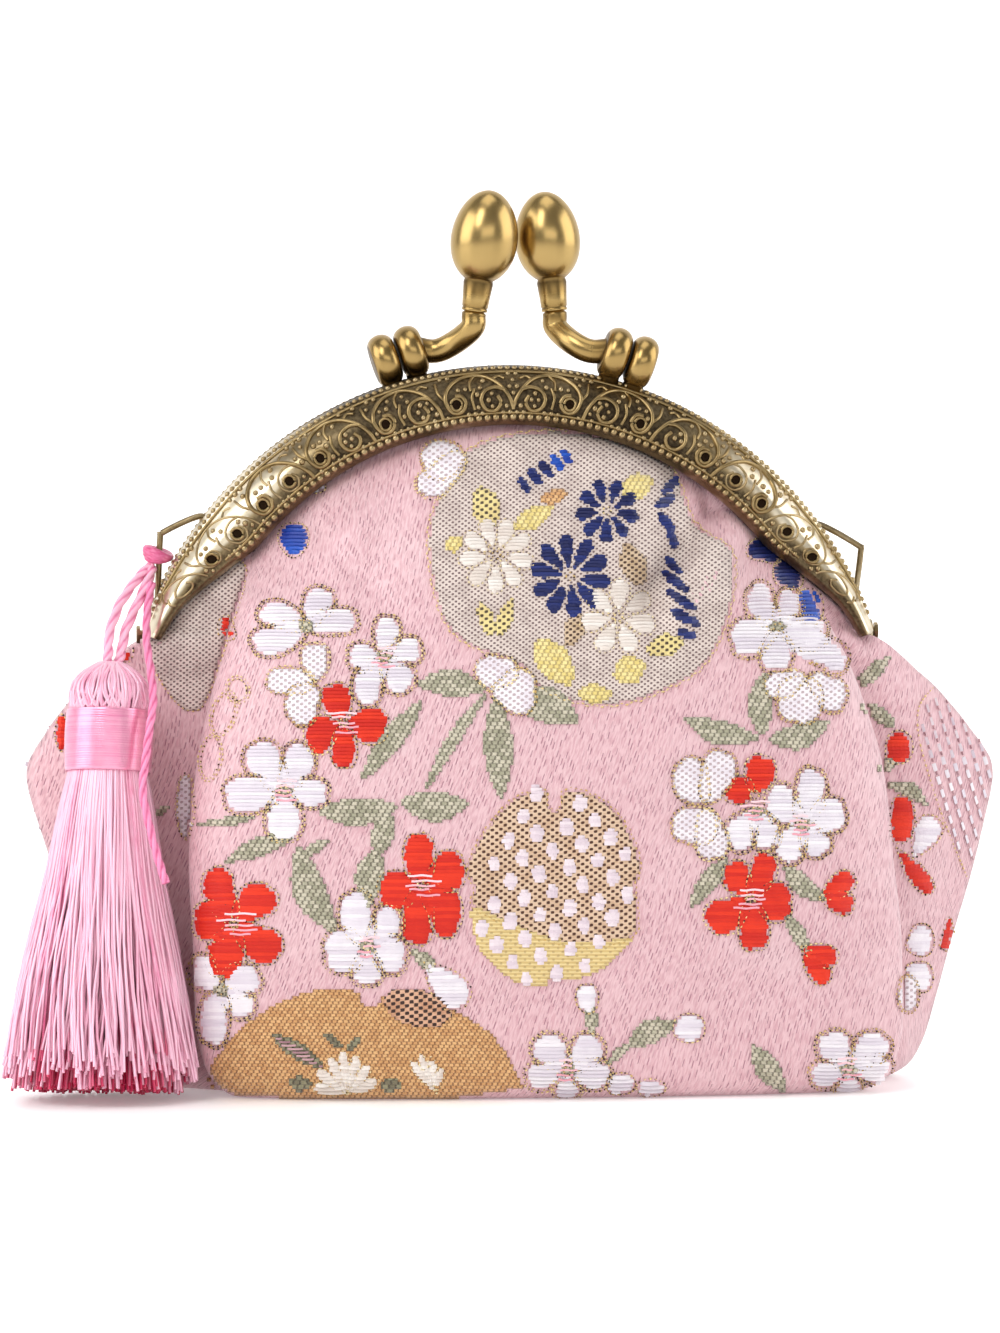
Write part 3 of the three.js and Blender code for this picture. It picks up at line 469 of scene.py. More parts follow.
# side seam: level, x, depth
seamRows = (
    (-19.5, 33.5, 0.15), (-12.0, 37.0, 0.15), (-5.0, 40.5, 0.2), (0.0, 43.2, 0.4), (2.5, 45.4, 0.4),
    (5.0, 46.9, 0.4), (9.0, 48.4, 0.4), (15.8, 50.3, 0.4), (22.7, 52.4, 0.4), (29.6, 54.4, 0.4),
    (33.8, 55.5, 0.4), (35.2, 55.7, 0.4), (36.4, 55.6, 0.4), (38.2, 54.7, 0.4), (39.9, 53.5, 0.4),
    (41.6, 52.3, 0.4), (43.4, 50.8, 0.4), (45.0, 49.4, 0.4), (46.8, 47.4, 0.6), (48.2, 46.0, 1.4),
    (49.3, 44.6, 2.1), (50.2, 43.4, 2.4), (50.9, 42.2, 2.6), (51.4, 41.2, 2.6), (51.8, 40.4, 2.4),
    (52.1, 39.9, 2.1), (52.3, 39.6, 1.9),
)
wingLeanRows = ((-19.5, 0.0), (0.0, 0.5), (6.0, 0.9), (22.0, 0.9), (33.0, 0.5), (46.0, 0.0), (79.4, 0.0))
# dents, each from (x, z) to (x, z): depth and width, a ridge where the depth is negative
frontDents = (
    (24.0, 67.0, 14.0, 56.5, 3.3, 1.8),
    (26.6, 64.4, 17.8, 54.2, -2.0, 1.9),
    (19.0, 71.0, 15.5, 61.0, 1.1, 1.5),
    (-14.0, 71.0, -17.0, 58.0, 0.7, 2.6),
    (3.0, 73.0, 2.0, 63.0, 0.5, 2.2),
    (-30.0, 16.0, -12.0, 9.0, 0.8, 4.0),
    (22.0, 12.0, 37.0, 20.0, 0.8, 4.0),
)
backDents = (
    (-22.0, 67.0, -13.0, 55.0, 1.1, 2.4),
    (10.0, 72.0, 13.0, 58.0, 0.7, 2.6),
    (-20.0, 11.0, 4.0, 8.0, 0.8, 4.0),
)
cloth = {
    "thickness": 1.0,
    "topLevel": arch["centreZ"] + arch["clothRadius"],
    "foldStart": 66.0,
    "seamTop": 52.3,  # where the side seam meets the arms
    "mouthLevel": 44.0,
    "footLevel": 0.4,
    "bottomLevel": -19.5,
    "armReach": 0.87,  # more cloth inside the arm ends
    "mouthDeg": 47.3,
    "foldShare": 0.78,
    "wingShare": 0.11,
    "rowStep": 0.72,
    "baseRows": 16,
    "bulgeColumns": 58,
    "overhangColumns": 8,
    "wingColumns": 20,
    "seamGap": 0.02,
    "cutSize": (0.128, 0.106),  # one panel laid flat: wing tip to wing tip, frame to bottom seam
    "cutArea": 0.0104,
}


# monotone curve through two columns of a table
def tableCurve(rows, key=0, value=1):
    xs = np.array([row[key] for row in rows], float)
    ys = np.array([row[value] for row in rows], float)
    rises = np.diff(ys) / np.diff(xs)
    slopes = np.concatenate([rises[:1], rises])
    for i in range(1, len(xs) - 1):
        a, b = rises[i - 1], rises[i]
        slopes[i] = 2 * a * b / (a + b) if a * b > 0 else 0.0

    def curve(x):
        at = np.clip(np.asarray(x, float), xs[0], xs[-1])
        i = np.clip(np.searchsorted(xs, at) - 1, 0, len(xs) - 2)
        step = xs[i + 1] - xs[i]
        t = (at - xs[i]) / step
        start = (1 + 2 * t) * (1 - t) ** 2 * ys[i] + t * (1 - t) ** 2 * step * slopes[i]
        return start + t * t * (3 - 2 * t) * ys[i + 1] + t * t * (t - 1) * step * slopes[i + 1]

    return curve


def smoothStep(low, high, x):
    t = np.clip((x - low) / (high - low), 0, 1)
    return t * t * (3 - 2 * t)


def softMin(a, b, width):
    h = np.maximum(width - np.abs(a - b), 0) / width
    return np.minimum(a, b) - h * h * width / 4


wall = {name: tableCurve(clothRows, 0, i) for i, name in enumerate(clothColumns)}
seamX = tableCurve(seamRows, 0, 1)
seamDepth = tableCurve(seamRows, 0, 2)
wingLean = tableCurve(wingLeanRows)
armInner = tableCurve(armInnerRows)


def clothEnd(level):
    reach = arch["clothRadius"] + cloth["armReach"] * (1 - smoothStep(cloth["seamTop"], 59, level))
    rise = np.minimum(level - arch["centreZ"], reach)
    archHalf = np.sqrt(np.maximum(reach**2 - rise**2, 1e-6))
    high = level > cloth["seamTop"]
    return np.where(high, archHalf, seamX(level)), np.where(high, arch["channelDepth"], seamDepth(level))


# right half of the sections at some levels: points from the middle out and their run of length
def halfSections(level):
    bulgeSteps, wingSteps = 36, 10
    endX, endY = clothEnd(level)
    above = level >= cloth["foldStart"]
    foldX = np.where(above, endX, np.minimum(wall["foldX"](level), endX))
    foldY = np.where(above, endY, wall["foldY"](level))
    valleyX = np.where(above, endX, np.minimum(wall["valleyX"](level), endX))
    valleyY = np.where(above, endY, wall["valleyY"](level))
    front = wall["front"](level)
    a = np.linspace(0, np.pi / 2, bulgeSteps + 1)
    bulgeX = foldX[:, None] * np.sin(a) ** (2 / 2.5)
    bulgeY = foldY[:, None] + (front - foldY)[:, None] * np.abs(np.cos(a)) ** (2 / 2.1)
    spanX, spanY = endX - valleyX, endY - valleyY
    puff = 0.06 * spanX
    guideX = [foldX, foldX + 0.3 * (valleyX - foldX), valleyX, valleyX + 0.22 * spanX,
              valleyX + 0.6 * spanX, endX]
    guideY = [foldY, foldY + 0.55 * (valleyY - foldY), valleyY, valleyY + 0.22 * spanY + 0.1 * puff,
              valleyY + 0.6 * spanY + puff, endY]
    guide = np.stack([np.stack(guideX, 1), np.stack(guideY, 1)], 2)
    guide = np.concatenate([2 * guide[:, :1] - guide[:, 1:2], guide, 2 * guide[:, -1:] - guide[:, -2:-1]], 1)
    pieces = [np.stack([bulgeX, bulgeY], 2)]
    t = (np.arange(1, wingSteps + 1) / wingSteps)[None, :, None]
    for i in range(5):
        p0, p1, p2, p3 = (guide[:, i + k : i + k + 1] for k in range(4))
        m1, m2 = 0.45 * (p2 - p0), 0.45 * (p3 - p1)
        pieces.append(p1 + m1 * t + (3 * p2 - 3 * p1 - 2 * m1 - m2) * t**2
                      + (2 * p1 - 2 * p2 + m1 + m2) * t**3)
    points = np.concatenate(pieces, 1)
    steps = np.hypot(*np.moveaxis(np.diff(points, axis=1), 2, 0))
    run = np.concatenate([np.zeros((len(level), 1)), np.cumsum(steps, 1)], 1)
    return points, run, run[:, bulgeSteps], run[:, bulgeSteps + 2 * wingSteps]


def alongSections(points, run, at):
    want = np.clip(at, 0, run[:, -1])
    i = np.clip((run < want[:, None]).sum(1) - 1, 0, run.shape[1] - 2)
    n = np.arange(len(want))
    span = np.maximum(run[n, i + 1] - run[n, i], 1e-9)
    t = np.clip((want - run[n, i]) / span, 0, 1)[:, None]
    return points[n, i] * (1 - t) + points[n, i + 1] * t


def mouthDepth(x, z):
    radius = np.hypot(x, z - arch["centreZ"])
    deg = np.degrees(np.arctan2(np.abs(x), z - arch["centreZ"]))
    inside = armInner(np.minimum(deg, 73)) - radius
    slope = 1.75 + 0.7 * smoothStep(56, 70, deg)
    return arch["channelDepth"] + slope * np.maximum(inside - 0.3, 0) + np.maximum(deg - 71, 0) * 0.6


# gathers below the frame, and the small slack of the cloth that the solids leave out
def gathers(x, z):
    radius = np.hypot(x, z - arch["centreZ"])
    angle = np.arctan2(x, z - arch["centreZ"])
    inside = np.maximum(38 - radius, 0)
    fade = np.exp(-inside / 6) * smoothStep(0.5, 3.5, inside) * smoothStep(cloth["mouthLevel"], 56, z)
    fine = 0.14 * np.sin(47 * angle + 1.3) + 0.1 * np.sin(71 * angle)
    slack = 0.1 * np.sin(0.31 * x + 0.17 * z + 1.0) + 0.08 * np.sin(0.45 * z - 0.22 * x)
    return fade * (0.42 * np.sin(19 * angle + 0.6) + 0.3 * np.sin(31 * angle + 2.1) + fine) + slack


def dentDepth(dents, x, z):
    total = np.zeros_like(x)
    for x0, z0, x1, z1, depth, width in dents:
        dx, dz = x1 - x0, z1 - z0
        t = np.clip(((x - x0) * dx + (z - z0) * dz) / (dx * dx + dz * dz), 0, 1)
        away = np.hypot(x - x0 - t * dx, z - z0 - t * dz) / width
        total += depth * np.exp(-(away**2))
    return total


def panelPoints(station, rowLevel, look):
    s = np.abs(station)
    share = np.where(s <= 1, cloth["foldShare"] * s, cloth["foldShare"] + cloth["wingShare"] * (s - 1))
    archLevel = arch["centreZ"] + arch["clothRadius"] * np.cos(np.radians(cloth["mouthDeg"] * share))
    settled = smoothStep(47, cloth["topLevel"], rowLevel)
    level = rowLevel - (cloth["topLevel"] - archLevel) * settled
    points, run, foldRun, valleyRun = halfSections(level)
    total = run[:, -1]
    topRun = halfSections(archLevel)[1][:, -1]
    hung = topRun + share**3 * (total - topRun)
    spread = np.where(s <= 1, s * foldRun, foldRun + (s - 1) * (valleyRun - foldRun))
    spread = np.where(s <= 2, spread, valleyRun + (s - 2) * (total - valleyRun))
    blend = 1 - smoothStep(60, cloth["topLevel"], rowLevel)
    at = (1 - blend) * hung + blend * spread
    at = np.where(s == 0, 0, at)
    section = alongSections(points, run, at)
    depth = section[:, 1]
    z = wall["z"](level)
    outer = np.minimum(at / np.maximum(total, 1e-9), 1) ** 6
    lean = look["lean"] * wall["lean"](level) * (1 - outer)
    x = np.sign(station) * section[:, 0] + lean + wingLean(level) * outer
    inMouth = z > cloth["mouthLevel"]
    freed = 12.8 * (1 - smoothStep(cloth["mouthLevel"], 49, z))
    depth = np.where(inMouth, softMin(depth, mouthDepth(x, z) + freed, 0.5), depth)
    soft = smoothStep(0.8, 5, depth) * (1 - smoothStep(1.0, 1.7, s)) * smoothStep(3, 9, level)
    depth = depth + soft * (gathers(x, z) - dentDepth(look["dents"], x, z))
    depth = np.where(inMouth, np.maximum(depth, clothEnd(level)[1] - 0.05), depth)
    return np.stack([x, look["side"] * depth, z], 1), np.sign(station) * at


def panelColumns():
    right = [i / cloth["bulgeColumns"] for i in range(cloth["bulgeColumns"] + 1)]
    right += [1 + (i + 1) / cloth["overhangColumns"] for i in range(cloth["overhangColumns"])]
    right += [2 + (i + 1) / cloth["wingColumns"] for i in range(cloth["wingColumns"])]
    return np.array([-s for s in reversed(right[1:])] + right)


def makePanel(name, look):
    columns = panelColumns()
    top, foot = cloth["topLevel"], cloth["footLevel"]
    wallRows = np.linspace(top, foot, int((top - foot) / cloth["rowStep"]))
    rows = np.concatenate([wallRows, np.linspace(foot, cloth["bottomLevel"], cloth["baseRows"])[1:]])
    wide, tall = len(columns), len(rows)
    middle, run = panelPoints(np.tile(columns, tall), np.repeat(rows, wide), look)
    grid = middle.reshape(tall, wide, 3)
    normal = np.cross(np.gradient(grid, axis=0), np.gradient(grid, axis=1)) * -look["side"]
    normal /= np.maximum(np.linalg.norm(normal, axis=2, keepdims=True), 1e-9)
    sheets = []
    for way in (0.5, -0.5):
        sheet = (grid + normal * way * cloth["thickness"]).reshape(-1, 3)
        sheet[:, 1] = look["side"] * np.maximum(look["side"] * sheet[:, 1], cloth["seamGap"])
        sheet[:, 2] = np.maximum(sheet[:, 2], 0)
        sheets.append(sheet)
    points = np.concatenate(sheets) * mm
    index = np.arange(wide * tall).reshape(tall, wide)
    a, b, c, d = index[:-1, :-1], index[:-1, 1:], index[1:, 1:], index[1:, :-1]
    outer = np.stack([a, b, c, d], 2).reshape(-1, 4)
    edge = np.concatenate([index[0, :], index[1:, -1], index[-1, -2::-1], index[-2:0:-1, 0]])
    after = np.roll(edge, -1)
    rim = np.stack([after, edge, edge + wide * tall, after + wide * tall], 1)
    faces = np.concatenate([outer, outer[:, ::-1] + wide * tall, rim])
    if look["side"] < 0:
        faces = faces[:, ::-1]
        outer = outer[:, ::-1]
    piece = linkMesh(name, points, faces.tolist())
    weave = np.stack([run, np.repeat(rows, wide)], 1)
    weave = np.concatenate([weave, weave])
    layer = piece.data.uv_layers.new(name="weave")
    corner = np.zeros(len(piece.data.loops), int)
    piece.data.loops.foreach_get("vertex_index", corner)
    layer.data.foreach_set("uv", weave[corner].astype(np.float32).ravel())
    shadeSmooth(piece, clothFinish["satin"])
    look["tree"] = BVHTree.FromPolygons([Vector(p) for p in points[: wide * tall]], outer.tolist())
    return piece


frontLook = {"side": -1, "lean": 1.0, "dents": frontDents}
backLook = {"side": 1, "lean": 0.35, "dents": backDents}
frontPanel = makePanel("front_cloth", frontLook)
backPanel = makePanel("back_cloth", backLook)
for panel, node in ((frontPanel, "front_panel"), (backPanel, "back_panel")):
    settle(panel, "brocade", node)
print("cloth panels made")


# the floral chart: pixels of the photograph, laid on the cloth along the line of sight
def chartRay(u, v, look):
    eye, back, right, upward = shotAxes()
    step = shot["sensor"] / shot["lens"] / shot["pixelsTall"]
    across, high = u - shot["pixelsWide"] / 2, shot["pixelsTall"] / 2 - v
    way = -back + right * (across * step) + upward * (high * step)
    if look["side"] > 0:  # the back panel carries the same repeat, seen from behind
        eye, way = Vector((-eye.x, -eye.y, eye.z)), Vector((-way.x, -way.y, way.z))
    return eye, way.normalized()


def layOn(u, v, lift, look):
    eye, way = chartRay(u, v, look)
    place, normal, _, _ = look["tree"].ray_cast(eye, way)
    if place is None or abs(normal.dot(way)) < 0.03:
        return None
    if normal.dot(way) > 0:
        normal = -normal
    return place + normal * lift * mm


def petalLoop(u, v, wide, tall, centre, notch=0.14):
    outward = math.atan2(v - centre[1], u - centre[0])
    inner = max(math.hypot(u - centre[0], v - centre[1]) - 4.0, 0.0)
    loop = []
    for i in range(36):
        a = 2 * math.pi * i / 36
        reach = (abs(math.cos(a) * 2 / wide) ** 2.4 + abs(math.sin(a) * 2 / tall) ** 2.4) ** (-1 / 2.4)
        off = math.atan2(math.sin(a - outward), math.cos(a - outward))
        reach *= 1 - notch * math.exp(-((off / 0.24) ** 2))
        back = math.exp(-(((math.pi - abs(off)) / 0.52) ** 2))
        reach += max(inner - reach, 0.0) * back
        loop.append((u + reach * math.cos(a), v + reach * math.sin(a)))
    return loop


# a blade with two points, or a drop that is round at its far end
def bladeLoop(u0, v0, u1, v1, wide, bow=0.0, drop=False):
    du, dv = u1 - u0, v1 - v0
    length = math.hypot(du, dv)
    nu, nv = -dv / length, du / length
    sides = [[], []]
    for i in range(15):
        t = i / 14
        half = wide / 2 * math.sin(math.pi * (t * 0.97 + 0.03)) ** 0.85
        if drop:
            half = wide * 0.82 * t**0.8 * math.sqrt(1 - t**3)
        bend = bow * math.sin(math.pi * t)
        for k, way in enumerate((1, -1)):
            out = bend + way * half
            sides[k].append((u0 + du * t + nu * out, v0 + dv * t + nv * out))
    return sides[0] + sides[1][::-1]


def roundLoop(points, times=2):
    for _ in range(times):
        cut = []
        for (u0, v0), (u1, v1) in zip(points, points[1:] + points[:1]):
            cut.append((0.75 * u0 + 0.25 * u1, 0.75 * v0 + 0.25 * v1))
            cut.append((0.25 * u0 + 0.75 * u1, 0.25 * v0 + 0.75 * v1))
        points = cut
    return points


def middleOf(loop):
    return sum(u for u, _ in loop) / len(loop), sum(v for _, v in loop) / len(loop)


# a loop with a row of small bows on it
def scallopLoop(loop, size, depth):
    cu, cv = middleOf(loop)
    bows, run = [], 0.0
    for (u0, v0), (u1, v1) in zip(loop, loop[1:] + loop[:1]):
        length = math.hypot(u1 - u0, v1 - v0)
        steps = max(2, round(length / 3))
        for k in range(steps):
            u, v = u0 + (u1 - u0) * k / steps, v0 + (v1 - v0) * k / steps
            bow = abs(math.sin(math.pi * (run + length * k / steps) / size))
            push = depth * bow / math.hypot(u - cu, v - cv)
            bows.append((u + (u - cu) * push, v + (v - cv) * push))
        run += length
    return bows


def loopSpans(loop, v):
    cuts = []
    for (u0, v0), (u1, v1) in zip(loop, loop[1:] + loop[:1]):
        if (v0 <= v) != (v1 <= v):
            cuts.append(u0 + (v - v0) / (v1 - v0) * (u1 - u0))
    cuts.sort()
    return list(zip(cuts[::2], cuts[1::2]))


weaving = {
    "pitch": 3.6,  # chart pixels between floats
    "halfWide": 0.25 * mm,
    "threadWide": 0.12 * mm,
    "halfDeep": 0.05 * mm,
    "serration": 1.5,
    "sample": 5.0,
    "floatLift": 0.09,
    "overPatch": 0.1,  # more lift for floats that lie on a patch
    "patchLift": 0.05,
    "patchCell": 3.4,
    "stitchLift": 0.12,
    "longestStep": 1.5 * mm,
}


class Brocade:
    def __init__(self, seed):
        self.dice = random.Random(seed)
        self.floats = {}
        self.rows = {}
        self.patches = {}

    def line(self, places, lift, look, keep, tone, closed=False):
        run, runs = [], []
        for u, v, extra in places:
            point = layOn(u, v, lift + extra, look)
            if point is None or (run and (point - run[-1]).length > weaving["longestStep"]):
                runs.append(run)
                run = []
            if point is not None:
                run.append(point)
        whole = closed and not runs
        runs.append(run)
        keep.extend((points, tone, whole) for points in runs if len(points) > 1)

    # horizontal floats over the inside of a loop
    def fill(self, loop, colour, look, pitch=None, lift=0.0):
        pitch = pitch or weaving["pitch"]
        keep = self.floats.setdefault(colour, [])
        low, high = min(v for _, v in loop), max(v for _, v in loop)
        for i in range(int((high - low) / pitch) + 1):
            v = low + (i + 0.5) * pitch
            for u0, u1 in loopSpans(loop, v):
                u0 += self.dice.uniform(-1, 1) * weaving["serration"]
                u1 += self.dice.uniform(-1, 1) * weaving["serration"]
                if u1 - u0 < 2.5:
                    continue
                count = max(3, int((u1 - u0) / weaving["sample"]) + 2)
                tone = self.dice.random()
                places = []
                for k in range(count):
                    t = k / (count - 1)
                    places.append((u0 + (u1 - u0) * t, v, 0.16 * math.sin(math.pi * t) ** 0.6 - 0.06))
                self.line(places, weaving["floatLift"] + lift, look, keep, tone)

    # rows of stitches round a loop, a little outside it, each kind starting one place later
    def edge(self, loop, look, kinds=("gold", "dark"), out=2.6, lift=0.0):
        cu, cv = middleOf(loop)
        places = []
        for u, v in loop:
            wider = 1 + out / max(math.hypot(u - cu, v - cv), 1e-6)
            places.append((cu + (u - cu) * wider, cv + (v - cv) * wider, lift))
        for k, kind in enumerate(kinds):
            ring = places[k:] + places[: k + 1]
            self.line(ring, weaving["stitchLift"], look, self.rows.setdefault(kind, []), self.dice.random())

    def petal(self, loop, colour, look):
        self.fill(loop, colour, look)
        self.edge(loop, look)

    # loose threads across the middle of a flower
    def threads(self, centre, half, look):
        keep = self.floats.setdefault("pinkFloss", [])
        for k in range(5):
            v = centre[1] + (k - 2) * 4.8 + self.dice.uniform(-1, 1)
            u = centre[0] + self.dice.uniform(-0.5, 0.5) * half
            reach = half * self.dice.uniform(0.6, 1.2)
            places = [(u + reach * (t / 4 - 1), v + 0.5 * math.sin(t + k), 0.16) for t in range(9)]
            self.line(places, weaving["floatLift"], look, keep, 0.3 * k)

    # a flat woven patch in square cells, so that its edge is stepped like the weave
    def patch(self, loop, finish, look, lift=0.0):
        points, uvs, faces = self.patches.setdefault((finish, look["side"]), ([], [], []))
        cell = weaving["patchCell"]
        seen = {}

        def corner(i, j):
            if (i, j) not in seen:
                place = layOn(i * cell, j * cell, weaving["patchLift"] + lift, look)
                seen[i, j] = None
                if place is not None:
                    seen[i, j] = len(points)
                    points.append(place)
                    uvs.append((i * cell, j * cell))
            return seen[i, j]

        for j in range(int(min(v for _, v in loop) / cell), int(max(v for _, v in loop) / cell) + 1):
            for u0, u1 in loopSpans(loop, (j + 0.5) * cell):
                for i in range(round(u0 / cell), round(u1 / cell)):
                    face = [corner(i, j), corner(i, j + 1), corner(i + 1, j + 1), corner(i + 1, j)]
                    if None in face:
                        continue
                    spread = max((points[face[k]] - points[face[k - 1]]).length for k in range(4))
                    if spread < weaving["longestStep"]:
                        faces.append(face)


brocade = Brocade(11)

# flowers: colour, centre, half length of the loose threads, petals as (u, v, wide, tall)
flowers = (
    ("white", (307, 627), 0, ((275, 614, 30, 20), (319, 602, 26, 25), (341, 621, 30, 21),
                              (270, 642, 34, 24))),
    ("white", (384, 658), 9, ((387, 631, 21, 25), (361, 657, 22, 23), (408, 651, 24, 23), (399, 678, 27, 27),
                              (367, 687, 24, 35))),
    ("red", (344, 723), 13, ((336, 699, 27, 29), (319, 735, 26, 35), (371, 726, 32, 33),
                             (344, 752, 22, 30))),
    ("white", (284, 791), 9, ((263, 759, 33, 32), (299, 761, 27, 33), (246, 795, 41, 33), (312, 793, 30, 24),
                              (284, 821, 32, 36))),
    ("red", (234, 924), 15, ((218, 886, 28, 36), (258, 900, 37, 31), (212, 921, 35, 37), (226, 957, 35, 41),
                             (264, 946, 35, 33))),
    ("red", (422, 885), 15, ((419, 855, 28, 42), (449, 871, 29, 38), (396, 890, 34, 35), (417, 923, 29, 43),
                             (446, 913, 29, 46))),
    ("white", (368, 946), 9, ((356, 913, 29, 41), (388, 923, 24, 31), (343, 951, 35, 39), (392, 955, 26, 33),
                              (367, 972, 26, 22))),
    ("white", (222, 990), 0, ((203, 972, 22, 30), (243, 980, 33, 27), (241, 1005, 24, 22),
                              (214, 1022, 24, 46))),
    ("red", (754, 795), 0, ((760, 772, 27, 32), (738, 790, 27, 24))),
    ("white", (802, 825), 9, ((811, 788, 25, 37), (829, 815, 29, 31), (816, 843, 25, 24), (789, 846, 25, 31),
                              (780, 803, 27, 34))),
    ("white", (756, 811), 11, ((740, 834, 25, 31), (766, 834, 22, 29))),
    ("red", (750, 899), 15, ((736, 876, 24, 28), (764, 868, 22, 30), (723, 917, 35, 31), (776, 902, 29, 37),
                             (754, 932, 27, 36))),
    ("white", (777, 628), 0, ((759, 601, 22, 32), (789, 606, 21, 29), (748, 638, 32, 34), (776, 656, 27, 29),
                              (809, 633, 32, 29), (835, 658, 21, 27))),
    ("white", (568, 1070), 8, ((549, 1049, 30, 27), (588, 1049, 27, 27), (540, 1076, 25, 22),
                               (594, 1074, 30, 24), (567, 1088, 22, 16))),
    ("white", (848, 1068), 8, ((834, 1046, 30, 27), (873, 1046, 30, 25), (824, 1074, 24, 22),
                               (879, 1070, 22, 24), (849, 1088, 22, 16))),
)
# single petals: colour, u, v, wide, tall and the point that they grow from
petals = (
    ("blue", 294, 538, 26, 25, (294, 560)),
    ("white", 316, 487, 16, 9, (300, 487)),
    ("white", 587, 997, 18, 22, (590, 1015)),
    ("white", 689, 1028, 27, 24, (672, 1028)),
    ("white", 621, 1083, 24, 16, (606, 1090)),
    ("white", 651, 1087, 24, 12, (640, 1095)),
    ("navy", 787, 573, 24, 26, (800, 590)),
    ("blue", 811, 608, 19, 32, (800, 590)),
    ("navy", 762, 550, 29, 18, (782, 562)),
    ("red", 899, 747, 22, 28, (889, 764)),
    ("red", 902, 816, 20, 38, (898, 845)),
    ("red", 948, 935, 7, 32, (940, 950)),
    ("white", 921, 940, 20, 28, (905, 950)),
    ("white", 921, 977, 18, 26, (905, 965)),
    ("red", 226, 628, 12, 20, (236, 640)),
    ("red", 62, 733, 9, 32, (70, 740)),
    ("red", 126, 651, 10, 18, (130, 660)),
)
# buds that open in two lobes: colour, foot, tips and the width of a lobe
buds = (
    ("red", (822, 898), ((852, 876), (852, 906)), 20),
    ("red", (803, 948), ((836, 960), (826, 982)), 19),
    ("red", (898, 850), ((930, 892),), 16),
    ("white", (426, 964), ((464, 1004),), 32),
    ("white", (914, 856), ((934, 818),), 24),
)
# flowers in white net
nettedFlowers = (
    ((318, 684), ((315, 658, 26, 28), (286, 681, 38, 24), (302, 706, 30, 38))),
    ((705, 806), ((690, 779, 32, 42), (719, 769, 32, 36), (694, 826, 42, 36), (712, 843, 30, 32))),
    ((806, 674), ((799, 701, 43, 45), (832, 696, 26, 32), (779, 686, 28, 24))),
    ((488, 693), ((496, 671, 40, 28), (519, 692, 32, 43))),
    ((466, 452), ((440, 461, 36, 36), (432, 485, 30, 26))),
    ((915, 1000), ((907, 994, 18, 34),)),
    ((176, 812), ((186, 806, 16, 62),)),
)
# leaves: from, to, width and bow
leaves = (
    (418, 684, 486, 690, 27, -4), (488, 692, 424, 793, 13, 4), (496, 696, 501, 801, 29, 0),
    (514, 700, 580, 722, 36, -6), (400, 802, 470, 804, 30, 4), (421, 702, 360, 781, 23, 0),
    (318, 812, 400, 806, 28, 3), (390, 812, 376, 856, 24, 0), (292, 838, 226, 862, 20, 3),
    (196, 826, 256, 818, 9, 0), (330, 840, 296, 858, 11, 0), (298, 846, 337, 934, 33, 8),
    (378, 846, 366, 910, 28, 3), (764, 672, 762, 738, 25, 3), (758, 738, 683, 718, 24, -5),
    (768, 740, 829, 722, 25, 6), (784, 866, 828, 900, 20, 4), (786, 914, 810, 954, 15, 0),
    (726, 858, 689, 908, 19, 0), (412, 950, 438, 972, 14, 0), (590, 1004, 593, 1036, 13, 0),
    (606, 1064, 634, 1040, 9, 0), (628, 1046, 676, 1022, 24, -3), (752, 1046, 784, 1092, 24, 0),
    (855, 688, 890, 656, 15, 0), (859, 706, 896, 728, 16, -3), (876, 772, 900, 758, 12, 0),
    (884, 784, 928, 806, 15, -6), (152, 818, 170, 806, 8, 0),
)
# roundels: finish and outline
roundels = {
    "large": ("lilacNet", ((428, 530), (434, 583), (446, 624), (471, 646), (522, 661), (534, 683), (575, 702),
                           (624, 704), (675, 683), (702, 667), (726, 624), (734, 567), (728, 546), (706, 536),
                           (688, 520), (684, 502), (676, 480), (668, 462), (600, 436), (540, 432), (473, 445),
                           (448, 480))),
    "dotted": ("tanNet", ((548, 790), (548, 812), (561, 812), (561, 790), (585, 792), (613, 809), (632, 839),
                          (640, 868), (632, 884), (637, 912), (636, 936), (590, 948), (540, 938), (500, 920),
                          (469, 905), (478, 888), (467, 873), (477, 844), (507, 805), (530, 792))),
    "golden": ("goldRib", ((469, 903), (500, 918), (540, 936), (590, 946), (636, 934), (626, 949), (599, 972),
                           (563, 984), (558, 970), (551, 970), (548, 987), (521, 986), (489, 964),
                           (474, 938))),
    "ochre": ("ochreRib", ((206, 1072), (228, 1042), (258, 1014), (290, 998), (321, 988), (358, 990),
                           (362, 1006), (380, 1006), (384, 992), (424, 996), (460, 1014), (490, 1031),
                           (508, 1056), (528, 1098), (214, 1098))),
    "left": ("lilacNet", ((150, 622), (190, 588), (228, 562), (246, 562), (246, 585), (236, 615), (226, 645),
                          (219, 667), (210, 692), (200, 712), (180, 708), (160, 680), (146, 648))),
}
# daisies: colour, centre, petals, inner and outer reach, width
daisies = (
    ("navy", (607, 512), 9, 8, 32, 12),
    ("navy", (570, 577), 10, 9, 41, 14),
    ("cream", (496, 556), 9, 9, 37, 14),
    ("cream", (618, 618), 7, 8, 37, 17),
)
# slanted pieces of the striped leaf and of the half daisies: colour, u, v, wide, tall, tilt
slips = (
    ("navy", 524, 486, 8, 19, -0.7), ("navy", 535, 478, 9, 21, -0.7), ("navy", 546, 471, 9, 21, -0.7),
    ("blue", 557, 464, 8, 20, -0.7), ("blue", 566, 458, 7, 16, -0.7),
    ("navy", 670, 487, 25, 10, -0.75), ("navy", 665, 503, 24, 10, -0.5), ("navy", 666, 524, 26, 10, 0.9),
    ("navy", 672, 540, 18, 8, 1.1), ("navy", 673, 566, 26, 9, 0.8), ("navy", 676, 583, 34, 9.5, 0.65),
    ("navy", 681, 601, 36, 9.5, 0.55), ("navy", 685, 618, 30, 9, 0.45), ("navy", 686, 633, 18, 8, 0.35),
)
